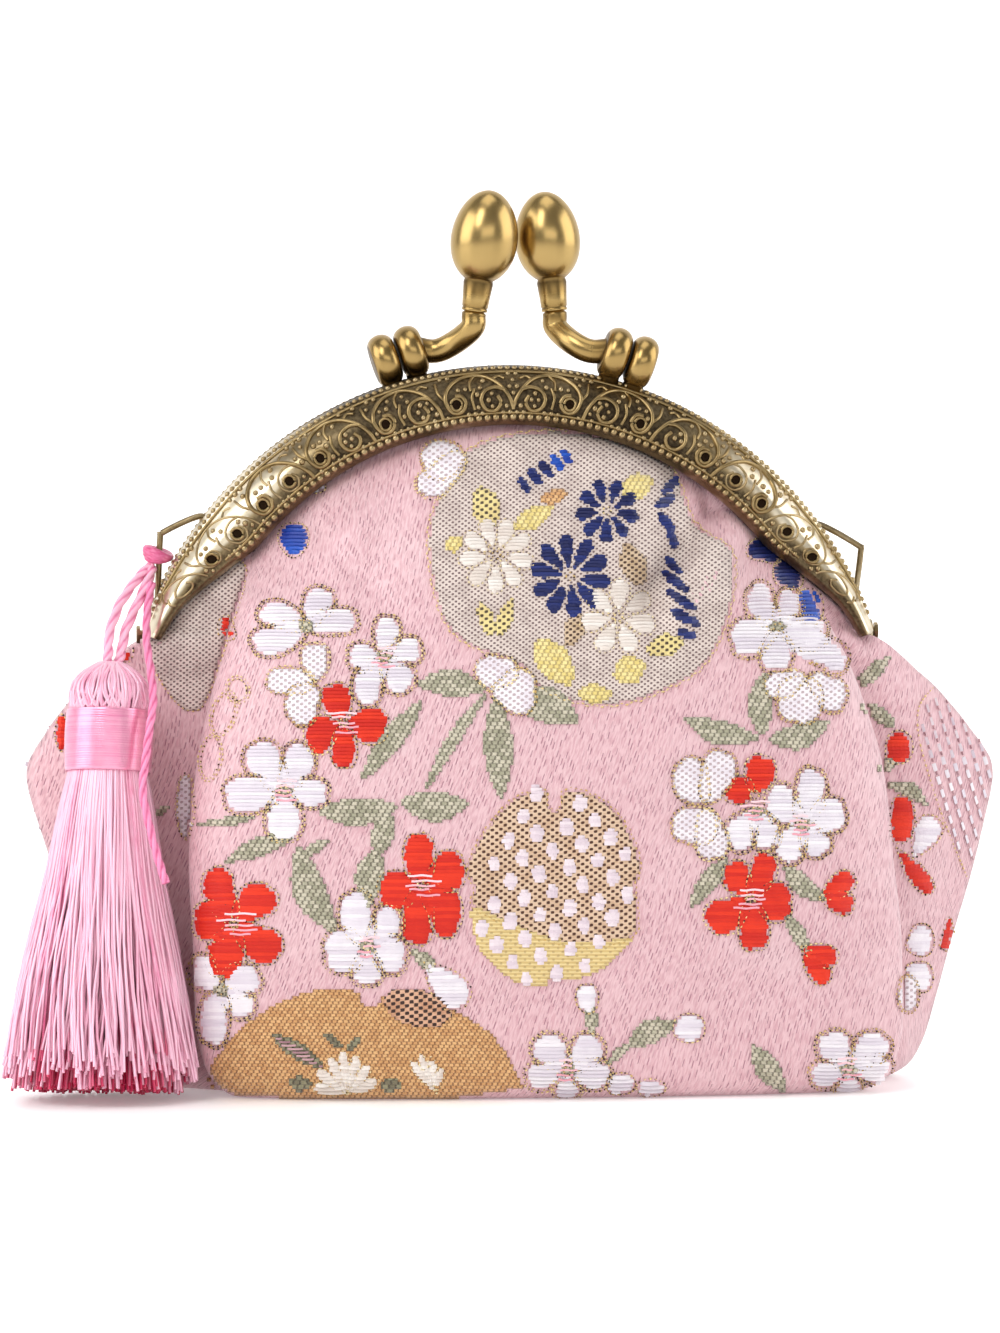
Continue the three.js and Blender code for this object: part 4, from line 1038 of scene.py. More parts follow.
# small leaves in the roundels: finish, from, to and width
smallLeaves = (
    ("yellowDots", 493, 528, 479, 486, 30), ("yellowNet", 513, 529, 553, 508, 22),
    ("yellowNet", 444, 548, 464, 540, 17), ("ochreRib", 540, 501, 569, 494, 15),
    ("yellowNet", 622, 493, 653, 480, 25), ("yellowDots", 493, 637, 479, 602, 15),
    ("yellowDots", 497, 637, 513, 599, 15), ("yellowNet", 537, 640, 572, 686, 34),
    ("yellowNet", 614, 677, 645, 663, 30), ("yellowNet", 577, 694, 613, 694, 19),
    ("yellowDots", 647, 651, 684, 640, 24), ("brownNet", 641, 586, 625, 543, 26),
    ("brownNet", 568, 647, 580, 613, 20), ("sageNet", 288, 1082, 312, 1084, 15),
    ("sageNet", 380, 1084, 402, 1084, 14), ("sageNet", 324, 1034, 342, 1046, 9),
    ("sageNet", 362, 1036, 346, 1050, 9), ("sageNet", 272, 1034, 326, 1068, 16),
)
# half flowers on the base edge: foot, tips and width of a petal
fans = (
    ((347, 1091), ((314, 1086), (318, 1070), (329, 1058), (343, 1052), (357, 1056), (369, 1066),
                   (378, 1080)), 9.5),
    ((436, 1090), ((411, 1062), (420, 1055), (431, 1058), (441, 1068)), 7.5),
)
netHole = ((381, 1000), (394, 990), (424, 991), (446, 999), (452, 1014), (440, 1026), (414, 1026),
           (392, 1018))
# petals drawn in outline only: u, v, wide, tall, tilt
outlines = ((224, 714, 20, 42, 0.3), (211, 758, 18, 42, 0.15), (238, 690, 18, 22, -0.2))
kanoko = {"origin": (538.6, 874.5), "across": (29.1, -6.7), "down": (15.1, 16.9), "wide": 13.0, "tall": 16}
wingDashes = {
    "loop": ((936, 684), (919, 706), (918, 734), (926, 767), (938, 805), (952, 842), (966, 876),
             (1000, 876), (1000, 690)),
    "across": 10.5,
    "down": 13.0,
    "lean": 0.3,
}


def ellipseLoop(u, v, wide, tall, tilt=0.0, count=24):
    loop = []
    cos, sin = math.cos(tilt), math.sin(tilt)
    for i in range(count):
        a = 2 * math.pi * i / count
        x, y = wide / 2 * math.cos(a), tall / 2 * math.sin(a)
        loop.append((u + x * cos - y * sin, v + x * sin + y * cos))
    return loop


def inside(loop, u, v):
    return any(u0 < u < u1 for u0, u1 in loopSpans(loop, v))


def weaveRoundels(look):
    over = weaving["overPatch"]
    for name, (finish, outline) in roundels.items():
        brocade.patch(roundLoop(list(outline), 1), finish, look, 0.012 if name == "golden" else 0.0)
    rim = scallopLoop(roundLoop(list(roundels["large"][1]), 2), 13, 3.4)
    brocade.edge(rim, look, ("gold", "pale"), 1.0)
    rim = scallopLoop(roundLoop(list(roundels["dotted"][1]), 1), 12, 2.6)
    brocade.edge(rim, look, ("gold",), 1.0)
    brocade.edge(roundLoop(list(roundels["left"][1]), 2), look, ("gold",), 1.0)
    brocade.patch(list(netHole), "darkNet", look, 0.06)
    for finish, u0, v0, u1, v1, wide in smallLeaves:
        brocade.patch(bladeLoop(u0, v0, u1, v1, wide), finish, look, 0.06)
    brocade.fill(bladeLoop(276, 1037, 322, 1066, 9), "mauve", look, 3.4, over + 0.06)
    for colour, centre, count, inner, outer, wide in daisies:
        for k in range(count):
            a = 2 * math.pi * (k + 0.3) / count
            way = (math.cos(a), math.sin(a))
            ends = [c + r * turn for r in (inner, outer) for c, turn in zip(centre, way)]
            loop = bladeLoop(*ends, wide, 0.0, True)
            brocade.fill(loop, colour, look, 3.2, over)
            if colour == "cream":
                brocade.edge(loop, look, ("pale",), 2.0, over)
        brocade.edge(ellipseLoop(*centre, 8, 8), look, ("gold", "dark"), 0.0, over)
    for colour, u, v, wide, tall, tilt in slips:
        brocade.fill(ellipseLoop(u, v, wide, tall, tilt), colour, look, 3.2, over)
    for foot, tips, wide in fans:
        for tip in tips:
            loop = bladeLoop(*foot, *tip, wide, 0.0, True)
            brocade.fill(loop, "cream", look, 3.2, over)
            brocade.edge(loop, look, ("pale",), 1.6, over)
    loops = [roundLoop(list(roundels[name][1]), 1) for name in ("dotted", "golden")]
    for i in range(-6, 7):
        for j in range(-7, 9):
            u = kanoko["origin"][0] + i * kanoko["across"][0] + j * kanoko["down"][0]
            v = kanoko["origin"][1] + i * kanoko["across"][1] + j * kanoko["down"][1]
            if any(inside(part, u - 5, v) and inside(part, u + 5, v) for part in loops):
                size = brocade.dice.uniform(0.85, 1.1)
                u += brocade.dice.uniform(-1, 1)
                dot = ellipseLoop(u, v, kanoko["wide"] * size, kanoko["tall"] * size)
                brocade.fill(dot, "dotWhite", look, 3.2, over + 0.012)


# slanted columns of short pale and dark dashes on the right wing
def weaveWing(look):
    loop = list(wingDashes["loop"])
    for i in range(14):
        for j in range(15):
            v = 690 + wingDashes["down"] * (j + 0.5 * (i % 2))
            u = 890 + wingDashes["across"] * i + wingDashes["lean"] * (v - 690)
            if not inside(loop, u - 4, v):
                continue
            for colour, low, high in (("white", -4.5, 3.0), ("mauve", 3.6, 7.0)):
                dash = [(u + wingDashes["lean"] * t, v + t, 0.05) for t in np.linspace(low, high, 3)]
                keep = brocade.floats.setdefault(colour, [])
                brocade.line(dash, weaving["floatLift"], look, keep, brocade.dice.random())
    border = [(p.x, p.y, 0.0) for p in smoothPath([(u, v, 0) for u, v in loop[:7]], 5)]
    brocade.line(border, weaving["stitchLift"], look, brocade.rows.setdefault("gold", []), 0.4)


def weaveSide(look):
    weaveRoundels(look)
    weaveWing(look)
    for row in outlines:
        brocade.edge(ellipseLoop(*row), look, ("gold", "dark"), 0.0)
        brocade.edge(ellipseLoop(*row), look, ("gold",), 3.0)
    for i, row in enumerate(leaves):
        brocade.patch(bladeLoop(*row), "leafNet", look, 0.01 + 0.012 * (i % 4))
    for centre, rows in nettedFlowers:
        for i, (u, v, wide, tall) in enumerate(rows):
            loop = petalLoop(u, v, wide, tall, centre)
            brocade.patch(loop, "whiteNet", look, 0.08 + 0.012 * i)
            brocade.edge(loop, look, lift=0.06)
            brocade.edge(loop, look, ("gold",), 0.6, 0.1)
    for colour, centre, half, rows in flowers:
        for u, v, wide, tall in rows:
            loop = petalLoop(u, v, wide, tall, centre)
            brocade.petal(loop, colour, look)
            if colour == "white":
                brocade.edge(loop, look, ("dark", "gold"), 5.0)
        if colour == "white":
            brocade.patch(ellipseLoop(*centre, 15, 12), "leafNet", look, 0.12)
        if half:
            brocade.threads(centre, half, look)
        brocade.edge(ellipseLoop(*centre, 9, 8), look, ("dark", "gold"), 0.0, 0.1)
    for colour, u, v, wide, tall, root in petals:
        brocade.petal(petalLoop(u, v, wide, tall, root, 0.05), colour, look)
    for colour, foot, tips, wide in buds:
        for tip in tips:
            brocade.petal(bladeLoop(*foot, *tip, wide, 0.0, True), colour, look)


def makeBrocade():
    for look in (frontLook, backLook):
        weaveSide(look)
        print("chart laid on side", look["side"])
    for colour, lines in brocade.floats.items():
        wide = weaving["threadWide" if colour in ("pinkFloss", "mauve") else "halfWide"]
        sizes = {"halfWide": wide, "halfDeep": weaving["halfDeep"], "sides": 5, "rounded": False}
        piece = lineMesh(colour + "_floats", lines)
        grow(piece, strandTree, material=clothFinish[colour], **sizes)
        settle(piece, "brocade")
    stitches = {
        "gold": {"long": 0.19 * mm, "wide": 0.1 * mm, "uneven": 0.35, "seed": 3},
        "dark": {"long": 0.11 * mm, "wide": 0.1 * mm, "uneven": 0.5, "seed": 8},
        "pale": {"long": 0.17 * mm, "wide": 0.08 * mm, "uneven": 0.35, "seed": 9},
    }
    for kind, lines in brocade.rows.items():
        sizes = {"spacing": 0.6 * mm, "sides": 6, "rings": 2, **stitches[kind]}
        piece = lineMesh(kind + "_stitches", lines)
        grow(piece, beadTree, material=clothFinish[kind], **sizes)
        settle(piece, "brocade")
    for (finish, side), (points, uvs, faces) in brocade.patches.items():
        piece = linkMesh(finish + ("_front" if side < 0 else "_back"), points, faces)
        layer = piece.data.uv_layers.new(name="chart")
        for loop in piece.data.loops:
            layer.data[loop.index].uv = uvs[loop.vertex_index]
        shadeSmooth(piece, clothFinish[finish])
        thick = piece.modifiers.new("thick", "SOLIDIFY")
        thick.thickness = 0.14 * mm
        thick.offset = 0.0
        settle(plainMesh(piece), "brocade")


makeBrocade()
print("brocade woven")


# metal finishes
def metalFinish(name, bright, mid, dark, roughness, grain, worn=None):
    f = Finish(name, Metallic=1.0)
    place = f.place()
    cloud = f.noise(place, 260.0, 4.0)
    fine = f.noise(place, 2400.0, 3.0)
    # how bright the metal is: wear and patina, and painted highlight and painted shade where the parts set it
    worn = f.attribute("worn") if worn is None else worn
    shade = f.between(((fine - 0.5) * 0.5 + (cloud - 0.5) * 0.4) * grain + worn, 0.1, 0.75)
    colour = f.mix(tint(*mid), tint(*bright), f.between((cloud - 0.5) * grain + worn, 0.6, 1.1))
    f.set("Base Color", f.mix(tint(*dark), colour, shade))
    f.set("Roughness", roughness + (1 - shade) * 0.22 + (fine - 0.5) * 0.12 * grain)
    f.bump(fine, 0.00003, 0.4 * grain)
    return f.material


armFinish = metalFinish("antique_bronze", (231, 218, 192), (150, 131, 97), (46, 37, 28), 0.32, 1.0)
reliefFinish = metalFinish("rubbed_bronze", (206, 188, 148), (156, 134, 96), (66, 50, 34), 0.3, 0.7, 0.72)
pitFinish = metalFinish("dark_bronze", (84, 62, 40), (58, 42, 28), (34, 24, 16), 0.45, 0.5, 0.3)
# a darker copy of the relief bronze for the crown's relief lines: painted shade, while the limbs' relief
# keeps the lighter copy
crownShadeFinish = metalFinish("crown_bronze", (190, 168, 124), (150, 128, 88), (66, 50, 34), 0.3, 0.8, 0.66)
knobFinish = metalFinish("satin_bronze", (198, 170, 112), (152, 124, 74), (52, 39, 27), 0.27, 0.12)

# frame arms: share of the width from the outer edge, depth from the parting plane
armFaceRows = ((0.0, 0.9), (0.03, 2.1), (0.08, 2.55), (0.13, 2.7), (0.28, 3.95), (0.45, 4.75), (0.62, 4.95),
               (0.77, 4.8), (0.86, 4.75), (0.93, 4.35), (1.0, 3.6))
armChannelRows = ((1.0, 2.9), (0.75, 4.0), (0.45, 4.0), (0.25, 3.0), (0.14, 1.6))
armWornRows = ((0.0, 0.3), (0.1, 0.36), (0.3, 0.32), (0.48, 0.28), (0.6, 0.24), (0.8, 0.24), (0.93, 0.46),
               (1.0, 0.7))
armFace = tableCurve(armFaceRows)
armWorn = tableCurve(armWornRows)
armSteps = 170


def armWidth(deg):
    return arch["radius"] - armInner(abs(deg))


def armEase(deg):
    return 1 - 0.06 * smoothStep(50, 72, abs(deg))


def armSection(deg):
    width, ease = armWidth(deg), armEase(deg)
    section = [(arch["radius"] - 0.5, 0.15, 0.3)]
    shares = [np.linspace(0, 0.14, 9), np.linspace(0.17, 0.9, 22), np.linspace(0.92, 1, 5)]
    for share in np.concatenate(shares):
        # the limbs are brightened toward the outer part of the face: painted reflection
        limbSheen = smoothStep(24, 46, abs(deg)) * (0.8 - 0.68 * smoothStep(0.46, 0.7, share))
        worn = float(armWorn(share)) + float(limbSheen)
        section.append((arch["radius"] - share * width, float(armFace(share)) * ease, worn))
    for share, depth in armChannelRows:
        section.append((arch["radius"] - share * width - (0.1 if share < 0.2 else 0), depth * ease, 0.1))
    section.append((arch["radius"] - 0.75 - 0.02 * width, 0.8, 0.1))
    section.append((arch["radius"] - 0.75 * width, 0.8, 0.1))
    section.append((arch["radius"] - 0.75 * width, 0.15, 0.1))
    return section


# a place on an arm's face, lifted off it
def onArm(deg, share, lift, side):
    width, ease, a = float(armWidth(deg)), float(armEase(deg)), math.radians(deg)
    slope = float(armFace(min(share + 0.01, 1)) - armFace(max(share - 0.01, 0))) / 0.02 * ease
    length = math.hypot(slope, width)
    r = arch["radius"] - share * width + lift * slope / length
    depth = float(armFace(share)) * ease + lift * width / length
    return Vector((r * math.sin(a), side * depth, arch["centreZ"] + r * math.cos(a))) * mm


def sweepRings(rings, closedEnds=True):
    count = len(rings[0])
    points = [p for ring in rings for p in ring]
    faces = []
    for i in range(len(rings) - 1):
        for j in range(count):
            a, b = i * count + j, i * count + (j + 1) % count
            faces.append((a, b, b + count, a + count))
    if closedEnds:
        faces.append(tuple(range(count))[::-1])
        faces.append(tuple(range(len(points) - count, len(points))))
    return points, faces


# parts are (points, faces, metal brightness) lists, that brightness being wear and patina with painted
# highlight and painted shade in places; the result is one mesh with outward faces
def joinParts(name, parts, material):
    points, faces, worn = [], [], []
    for partPoints, partFaces, partWorn in parts:
        first = len(points)
        points += [tuple(p) for p in partPoints]
        faces += [tuple(first + i for i in face) for face in outward(partPoints, partFaces)]
        worn += partWorn if isinstance(partWorn, list) else [partWorn] * len(partPoints)
    piece = linkMesh(name, points, faces)
    setValues(piece, "worn", worn)
    return shadeSmooth(piece, material)


def outward(points, faces):
    volume = 0.0
    for face in faces:
        a = Vector(points[face[0]])
        for i in range(1, len(face) - 1):
            volume += a.dot(Vector(points[face[i]]).cross(Vector(points[face[i + 1]])))
    return faces if volume > 0 else [face[::-1] for face in faces]


# rings of a tube round a path; radius may be a number or a function of (share along, angle)
def tubeRings(path, radius, sides):
    rings = []
    way = (path[1] - path[0]).normalized()
    side = way.orthogonal().normalized()
    for i, point in enumerate(path):
        newWay = (path[min(i + 1, len(path) - 1)] - path[max(i - 1, 0)]).normalized()
        side = (way.rotation_difference(newWay) @ side)
        side = (side - newWay * side.dot(newWay)).normalized()
        way = newWay
        other = way.cross(side)
        ring = []
        for k in range(sides):
            a = 2 * math.pi * k / sides
            r = radius(i / (len(path) - 1), a) if callable(radius) else radius
            ring.append(point + side * (r * math.cos(a)) + other * (r * math.sin(a)))
        rings.append(ring)
    return rings


def tubePart(path, radius, sides, worn):
    points, faces = sweepRings(tubeRings(path, radius, sides))
    return points, faces, worn


def lathePart(profile, foot, axis, sides, worn):
    axis = Vector(axis).normalized()
    side = axis.orthogonal().normalized()
    other = axis.cross(side)
    rings = []
    for radius, high in profile:
        ring = []
        for k in range(sides):
            a = 2 * math.pi * k / sides
            ring.append(Vector(foot) + axis * high + side * (radius * math.cos(a))
                        + other * (radius * math.sin(a)))
        rings.append(ring)
    points, faces = sweepRings(rings)
    return [p * mm for p in points], faces, worn


clasps = {
    "right": {
        "collar": (5.45, 1.35, 88.7), "egg": (4.65, 1.65, 97.2), "eggRadius": 3.75, "eggHalf": 5.25,
        "turns": ((12.1, -1.7, 83.8), (15.1, -1.7, 82.8)),
        "stem": ((12.0, -1.7, 84.3), (9.4, -1.5, 84.1), (7.3, -0.6, 85.1)),
    },
    "left": {
        "collar": (-4.1, -1.35, 88.7), "egg": (-2.95, -1.65, 97.2), "eggRadius": 3.85, "eggHalf": 5.4,
        "turns": ((-11.1, 1.7, 84.0), (-14.1, 1.7, 83.0)),
        "stem": ((-11.0, 1.7, 84.5), (-8.4, 1.5, 84.1), (-6.2, 0.6, 85.1)),
    },
}
turnSizes = {"radius": 3.1, "halfWide": 1.5, "round": 1.2, "sides": 32}
stemSizes = {"radius": 1.4, "sides": 20}
earLoops = (
    ((34.9, 1.0, 63.3), (36.3, 1.0, 64.0), (40.9, 1.0, 61.5), (41.1, 1.0, 60.8), (40.4, 1.0, 55.2)),
    ((-34.3, 1.0, 64.2), (-35.6, 1.0, 65.2), (-39.7, 1.0, 63.4), (-40.1, 1.0, 62.6), (-40.4, 1.0, 55.4)),
)
knuckle = {"z": 51.7, "radius": 1.4, "front": (40.3, 41.1), "back": (41.4, 42.2)}


def claspParts(clasp):
    parts = []
    first, second = (Vector(t) for t in clasp["turns"])
    for turn in (first, second):
        profile = [(0.0, -turnSizes["halfWide"])]
        for i in range(15):
            a = -math.pi / 2 + math.pi * i / 14
            out = turnSizes["radius"] - turnSizes["round"] + turnSizes["round"] * math.cos(a)
            profile.append((out, turnSizes["halfWide"] * math.sin(a)))
        profile.append((0.0, turnSizes["halfWide"]))
        rim = turnSizes["radius"] - 0.9
        sides = turnSizes["sides"]
        # the sides of each turn, which face the other turn, are darker than the rim: painted shade between
        # the turns
        worn = [0.35 + 0.42 * (radius > rim) for radius, _ in profile for _ in range(sides)]
        parts.append(lathePart(profile, turn, second - first, sides, worn))
        foot = Vector((turn.x, 0, turn.z - arch["centreZ"])).normalized()
        base = Vector((0, turn.y, arch["centreZ"])) + foot * (arch["radius"] - 0.55)
        parts.append(lathePart([(0, 0), (1.2, 0), (1.2, 4.4), (0, 4.4)], base, foot, 16, 0.4))
    collar, egg = Vector(clasp["collar"]), Vector(clasp["egg"])
    axis = (egg - collar).normalized()
    stem = [Vector(p) for p in clasp["stem"]]
    stem += [collar - axis * 1.9, collar - axis * 0.45, collar + axis * 1.9]
    path = [p * mm for p in smoothPath(stem, 10)]
    full = stemSizes["radius"]
    radius = lambda t, a: (full if t < 0.82 else full - 0.5 * min((t - 0.82) / 0.04, 1)) * mm
    # the stem darkens where it leaves the coil, painted shade, and in a narrow ring at the collar joint
    worn = []
    for i in range(len(path)):
        t = i / (len(path) - 1)
        shade = 0.82 - 0.45 * math.exp(-((t / 0.16) ** 2)) - 0.3 * math.exp(-(((t - 0.8) / 0.06) ** 2))
        worn += [shade] * stemSizes["sides"]
    parts.append(tubePart(path, radius, stemSizes["sides"], worn))
    return parts


def armParts(side):
    rings, worn = [], []
    for i in range(armSteps + 1):
        deg = -arch["endDeg"] + 2 * arch["endDeg"] * i / armSteps
        a = math.radians(deg)
        ring = []
        for r, depth, shade in armSection(deg):
            ring.append(Vector((r * math.sin(a), side * depth, arch["centreZ"] + r * math.cos(a))) * mm)
            worn.append(shade)
        rings.append(ring)
    points, faces = sweepRings(rings)
    parts = [(points, faces, worn)]
    for end in (-1, 1):
        x0, x1 = knuckle["front" if side < 0 else "back"]
        path = [Vector((end * x, 0, knuckle["z"])) * mm for x in (x0, x1)]
        parts.append(tubePart(path, knuckle["radius"] * mm, 20, 0.85))
    if side > 0:
        for loop in earLoops:
            parts.append(tubePart([p * mm for p in smoothPath(loop, 8)], 0.36 * mm, 12, 0.6))
    return parts


# embossed relief of one arm, as lines on its face: one repeat in (millimetres along, share of the width);
# bead rows: share of the width, last degree, spacing, length and width of a bead
relief = {
    "pitch": 8.66,
    "scrolls": (
        ((-0.6, 0.78), (-0.3, 0.6), (0.5, 0.4), (1.8, 0.23), (3.6, 0.15), (5.5, 0.19), (6.9, 0.32),
         (7.4, 0.5), (6.9, 0.69), (5.8, 0.72), (5.1, 0.6), (5.4, 0.47), (6.2, 0.44)),
        ((0.5, 0.4), (1.6, 0.36), (2.8, 0.42), (3.25, 0.57), (2.7, 0.72), (1.6, 0.74), (0.95, 0.62),
         (1.3, 0.5)),
    ),
    "leaves": (
        ((3.6, 0.15), (4.3, 0.26), (4.3, 0.4)),
        ((3.9, 0.36), (4.3, 0.52), (4.1, 0.7)),
        ((7.4, 0.5), (8.0, 0.36), (8.1, 0.2)),
        ((1.8, 0.23), (1.0, 0.18), (0.3, 0.22)),
    ),
    "pits": ((2.05, 0.58), (6.2, 0.58)),
    "pitRadius": 0.68,
    "wire": 0.26 * mm,
    "beads": (("rim", 0.045, 69.0, 0.82, 0.33, 0.3), ("inner", 0.86, 54.0, 0.98, 0.45, 0.45)),
    "pebbleStep": 0.84,
    "pebbleDeg": 62,
    "pebbleRows": 7,
    "pebble": 0.33 * mm,
    "lastDeg": 67.0,
    "limbDeg": 36.0,
}
midRadius = 41.5


def degOf(length):
    return math.degrees(length / midRadius)


# repeats run out from the top to both ends, mirrored
def reliefPlaces():
    places = []
    for way in (-1, 1):
        for k in range(-1, int(relief["lastDeg"] / degOf(relief["pitch"])) + 1):
            places.append((way, degOf(relief["pitch"]) * (k + 0.06)))
    return places


def reliefLines(key):
    lines = []
    for way, start in reliefPlaces():
        for chart in relief[key]:
            path = smoothPath([(start + degOf(along), share, 0) for along, share in chart], 6)
            path = [(p.x, p.y) for p in path if 0 <= p.x <= relief["lastDeg"]]
            if len(path) > 2:
                lines.append([(way * deg, share) for deg, share in path])
    return lines


def pitPlaces():
    pits = []
    for way, start in reliefPlaces():
        for k, (along, share) in enumerate(relief["pits"]):
            deg = start + degOf(along)
            if 0 < deg < 60 and (k or deg > relief["limbDeg"]):
                pits.append((way * deg, share))
    return pits


def pitRings(side):
    rings = []
    for deg, share in pitPlaces():
        ring = []
        for i in range(16):
            a = 2 * math.pi * i / 16
            across = share + relief["pitRadius"] * math.sin(a) / float(armWidth(deg))
            ring.append(onArm(deg + degOf(relief["pitRadius"] * math.cos(a)), across, 0.05, side))
        rings.append((ring, 0.5, True))
    return rings


# pebbles fill the ground between the scrolls
def pebblePlaces(lines):
    busy = [(deg, share, 0.46) for line in lines for deg, share in line]
    busy += [(deg, share, 1.0) for deg, share in pitPlaces()]
    angles = np.array([deg for deg, _, _ in busy])
    shares = np.array([share for _, share, _ in busy])
    rooms = np.array([room for _, _, room in busy])
    places = []
    last, step = relief["pebbleDeg"], degOf(relief["pebbleStep"])
    for i in range(int(2 * last / step)):
        for j in range(relief["pebbleRows"]):
            deg = -last + (i + 0.5 * (j % 2)) * step
            width = float(armWidth(deg))
            share = 0.14 + j * 0.86 * relief["pebbleStep"] / 6.8
            away = np.hypot((angles - deg) * math.pi / 180 * midRadius, (shares - share) * width)
            if width > 5 and (away > rooms).all():
                places.append((deg, share))
    return places


def laidLines(lines, lift, side):
    return [([onArm(deg, share, lift, side) for deg, share in line], 0.5, False) for line in lines]


def beadLine(share, side, end):
    steps = 160
    return laidLines([[(-end + 2 * end * i / steps, share) for i in range(steps + 1)]], 0.02, side)


def makeArm(name, side):
    settle(joinParts(name, armParts(side), armFinish), "frame_metal", name)
    clasp = claspParts(clasps["right" if side < 0 else "left"])
    settle(joinParts(name + "_clasp", clasp, knobFinish), "frame_metal")
    wire = relief["wire"]
    scrolls, leafs = reliefLines("scrolls"), reliefLines("leaves")
    onLimb = lambda line: abs(line[0][0]) >= relief["limbDeg"]
    laid = laidLines([line for line in scrolls if not onLimb(line)], 0.06, side)
    fine = laidLines([line for line in leafs if not onLimb(line)], 0.03, side)
    low = laidLines([line for line in scrolls + leafs if onLimb(line)], 0.0, side)
    fine += beadLine(0.105, side, relief["lastDeg"])
    fine += beadLine(0.785, side, 56.0)
    # crown relief lines take the darker copy, painted shade; the limbs take the lighter one
    groups = (("scrolls", laid, wire, crownShadeFinish), ("leaves", fine, wire * 0.75, crownShadeFinish),
              ("limbs", low, wire * 0.6, reliefFinish), ("rings", pitRings(side), wire * 0.75, crownShadeFinish))
    for label, group, size, finish in groups:
        part = lineMesh(f"{name}_{label}", group)
        grow(part, strandTree, material=finish, halfWide=size, halfDeep=size, sides=6, rounded=True)
        settle(part, "frame_metal")
    bead = {"uneven": 0.05, "seed": 4, "sides": 8, "rings": 5, "material": reliefFinish}
    for label, share, end, spacing, long, wide in relief["beads"]:
        row = lineMesh(f"{name}_{label}_beads", beadLine(share, side, end))
        grow(row, beadTree, spacing=spacing * mm, long=long * mm, wide=wide * mm, **bead)
        settle(row, "frame_metal")
    places = pebblePlaces(scrolls + leafs)
    ground = linkMesh(name + "_pebbles", [onArm(deg, share, 0.0, side) for deg, share in places])
    grow(ground, pebbleTree, size=relief["pebble"], uneven=0.15, seed=6, rings=4, material=reliefFinish)
    settle(ground, "frame_metal")
    parts = []
    pit = [(0, 0), (0.58, 0), (0.62, 0.3), (0.4, 0.33), (0, 0.34)]
    for deg, share in pitPlaces():
        top, foot = onArm(deg, share, 0.06, side), onArm(deg, share, -0.3, side)
        out = (top - foot).normalized()
        parts.append(lathePart(pit, foot / mm, out, 14, 0.0))
    settle(joinParts(name + "_pits", parts, pitFinish), "frame_metal")


makeArm("front_arm", -1)
makeArm("back_arm", 1)
for node in ("hinge_rivet_left", "hinge_rivet_right"):
    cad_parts[node].data.materials.clear()
    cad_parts[node].data.materials.append(reliefFinish)
print("frame arms embossed")


def makeKnob(name, clasp):
    collar, egg = Vector(clasp["collar"]), Vector(clasp["egg"])
    length, sides = (egg - collar).length, 48
    profile = [(0.0, 0.0), (1.4, 0.0), (1.47, 0.06), (1.49, 0.3), (1.38, 0.4), (1.5, 0.52), (1.56, 1.4),
               (1.72, 3.3)]
    for i in range(34):
        a = -math.pi / 2 + math.pi * (0.13 + 0.87 * i / 33)
        fuller = 1 - 0.07 * math.sin(a)
        radius = max(clasp["eggRadius"] * math.cos(a) * fuller, 0.0)
        profile.append((radius, length + clasp["eggHalf"] * math.sin(a)))
    # the neck under the egg is darker, painted shade, and the collar's seam groove is darker too
    worn = []
    for _, high in profile:
        shade = 0.85 - 0.5 * math.exp(-(((high - 3.3) / 0.7) ** 2))
        shade -= 0.45 * math.exp(-(((high - 0.4) / 0.12) ** 2))
        worn += [shade] * sides
    piece = joinParts(name, [lathePart(profile, collar, egg - collar, sides, worn)], knobFinish)
    settle(piece, "knob_metal", name)


makeKnob("right_knob", clasps["right"])
makeKnob("left_knob", clasps["left"])
print("knobs turned")


# silk: tassel, band, knot and cords
def silkFinish(name, pale, deep, roughness=0.32, tip=None, gloss=0.0):
    f = Finish(name, Roughness=roughness, Metallic=gloss, Sheen_Weight=0.2, Sheen_Roughness=0.35,
               Specular_IOR_Level=0.7)
    tone = f.attribute("tone")
    spot = f.noise(f.place(), 700.0)
    colour = f.mix(tint(*pale), tint(*deep), f.between(tone * 0.8 + (spot - 0.5) * 0.4, 0.1, 0.95))
    if tip:
        _, _, z = f.axes(f.place())
        low = 1 - f.between(z, 0.001, 0.014)
        colour = f.mix(colour, tint(*tip), low * f.between(tone, 0.4, 0.7))
    f.set("Base Color", colour)
    return f.material


flossFinish = silkFinish("pink_silk", (246, 194, 214), (224, 88, 146), 0.3, (206, 18, 80), 0.15)
# deep core silk: painted shade seen between the skirt's strands
coreShadeFinish = silkFinish("deep_silk", (244, 176, 204), (206, 36, 98), 0.5)
bandFinish = silkFinish("band_silk", (244, 172, 198), (226, 114, 160), 0.3, None, 0.5)
cordFinish = silkFinish("cord_silk", (248, 184, 208), (216, 84, 140))
tailFinish = silkFinish("tail_silk", (240, 140, 182), (196, 40, 104))

tassel = {
    "top": (-46.4, -10.6, 49.0),
    "foot": (-48.3, -17.4, 0.9),
    "bandTop": 5.4,
    "bandFoot": 12.4,
    "bandRadius": 4.8,
    "strands": 1150,
    "headStrands": 230,
    "strandRadius": 0.175 * mm,
    "seed": 5,
}
tasselTop = Vector(tassel["top"])
tasselLength = (Vector(tassel["foot"]) - tasselTop).length
tasselDown = (Vector(tassel["foot"]) - tasselTop).normalized()
tasselSide = (Vector((1, 0, 0)) - tasselDown * tasselDown.x).normalized()
tasselFront = tasselDown.cross(tasselSide).normalized()
tasselRadius = tableCurve(((0.0, 1.3), (1.2, 2.9), (3.0, 4.1), (5.2, 4.35), (12.6, 4.35), (15.0, 5.0),
                           (24.0, 6.6), (36.0, 9.2), (tasselLength, 11.3)))


def onTassel(down, turn, out):
    way = tasselSide * math.cos(turn) + tasselFront * math.sin(turn)
    place = tasselTop + tasselDown * down + way * out
    place.z = max(place.z, 0.3)
    return place * mm


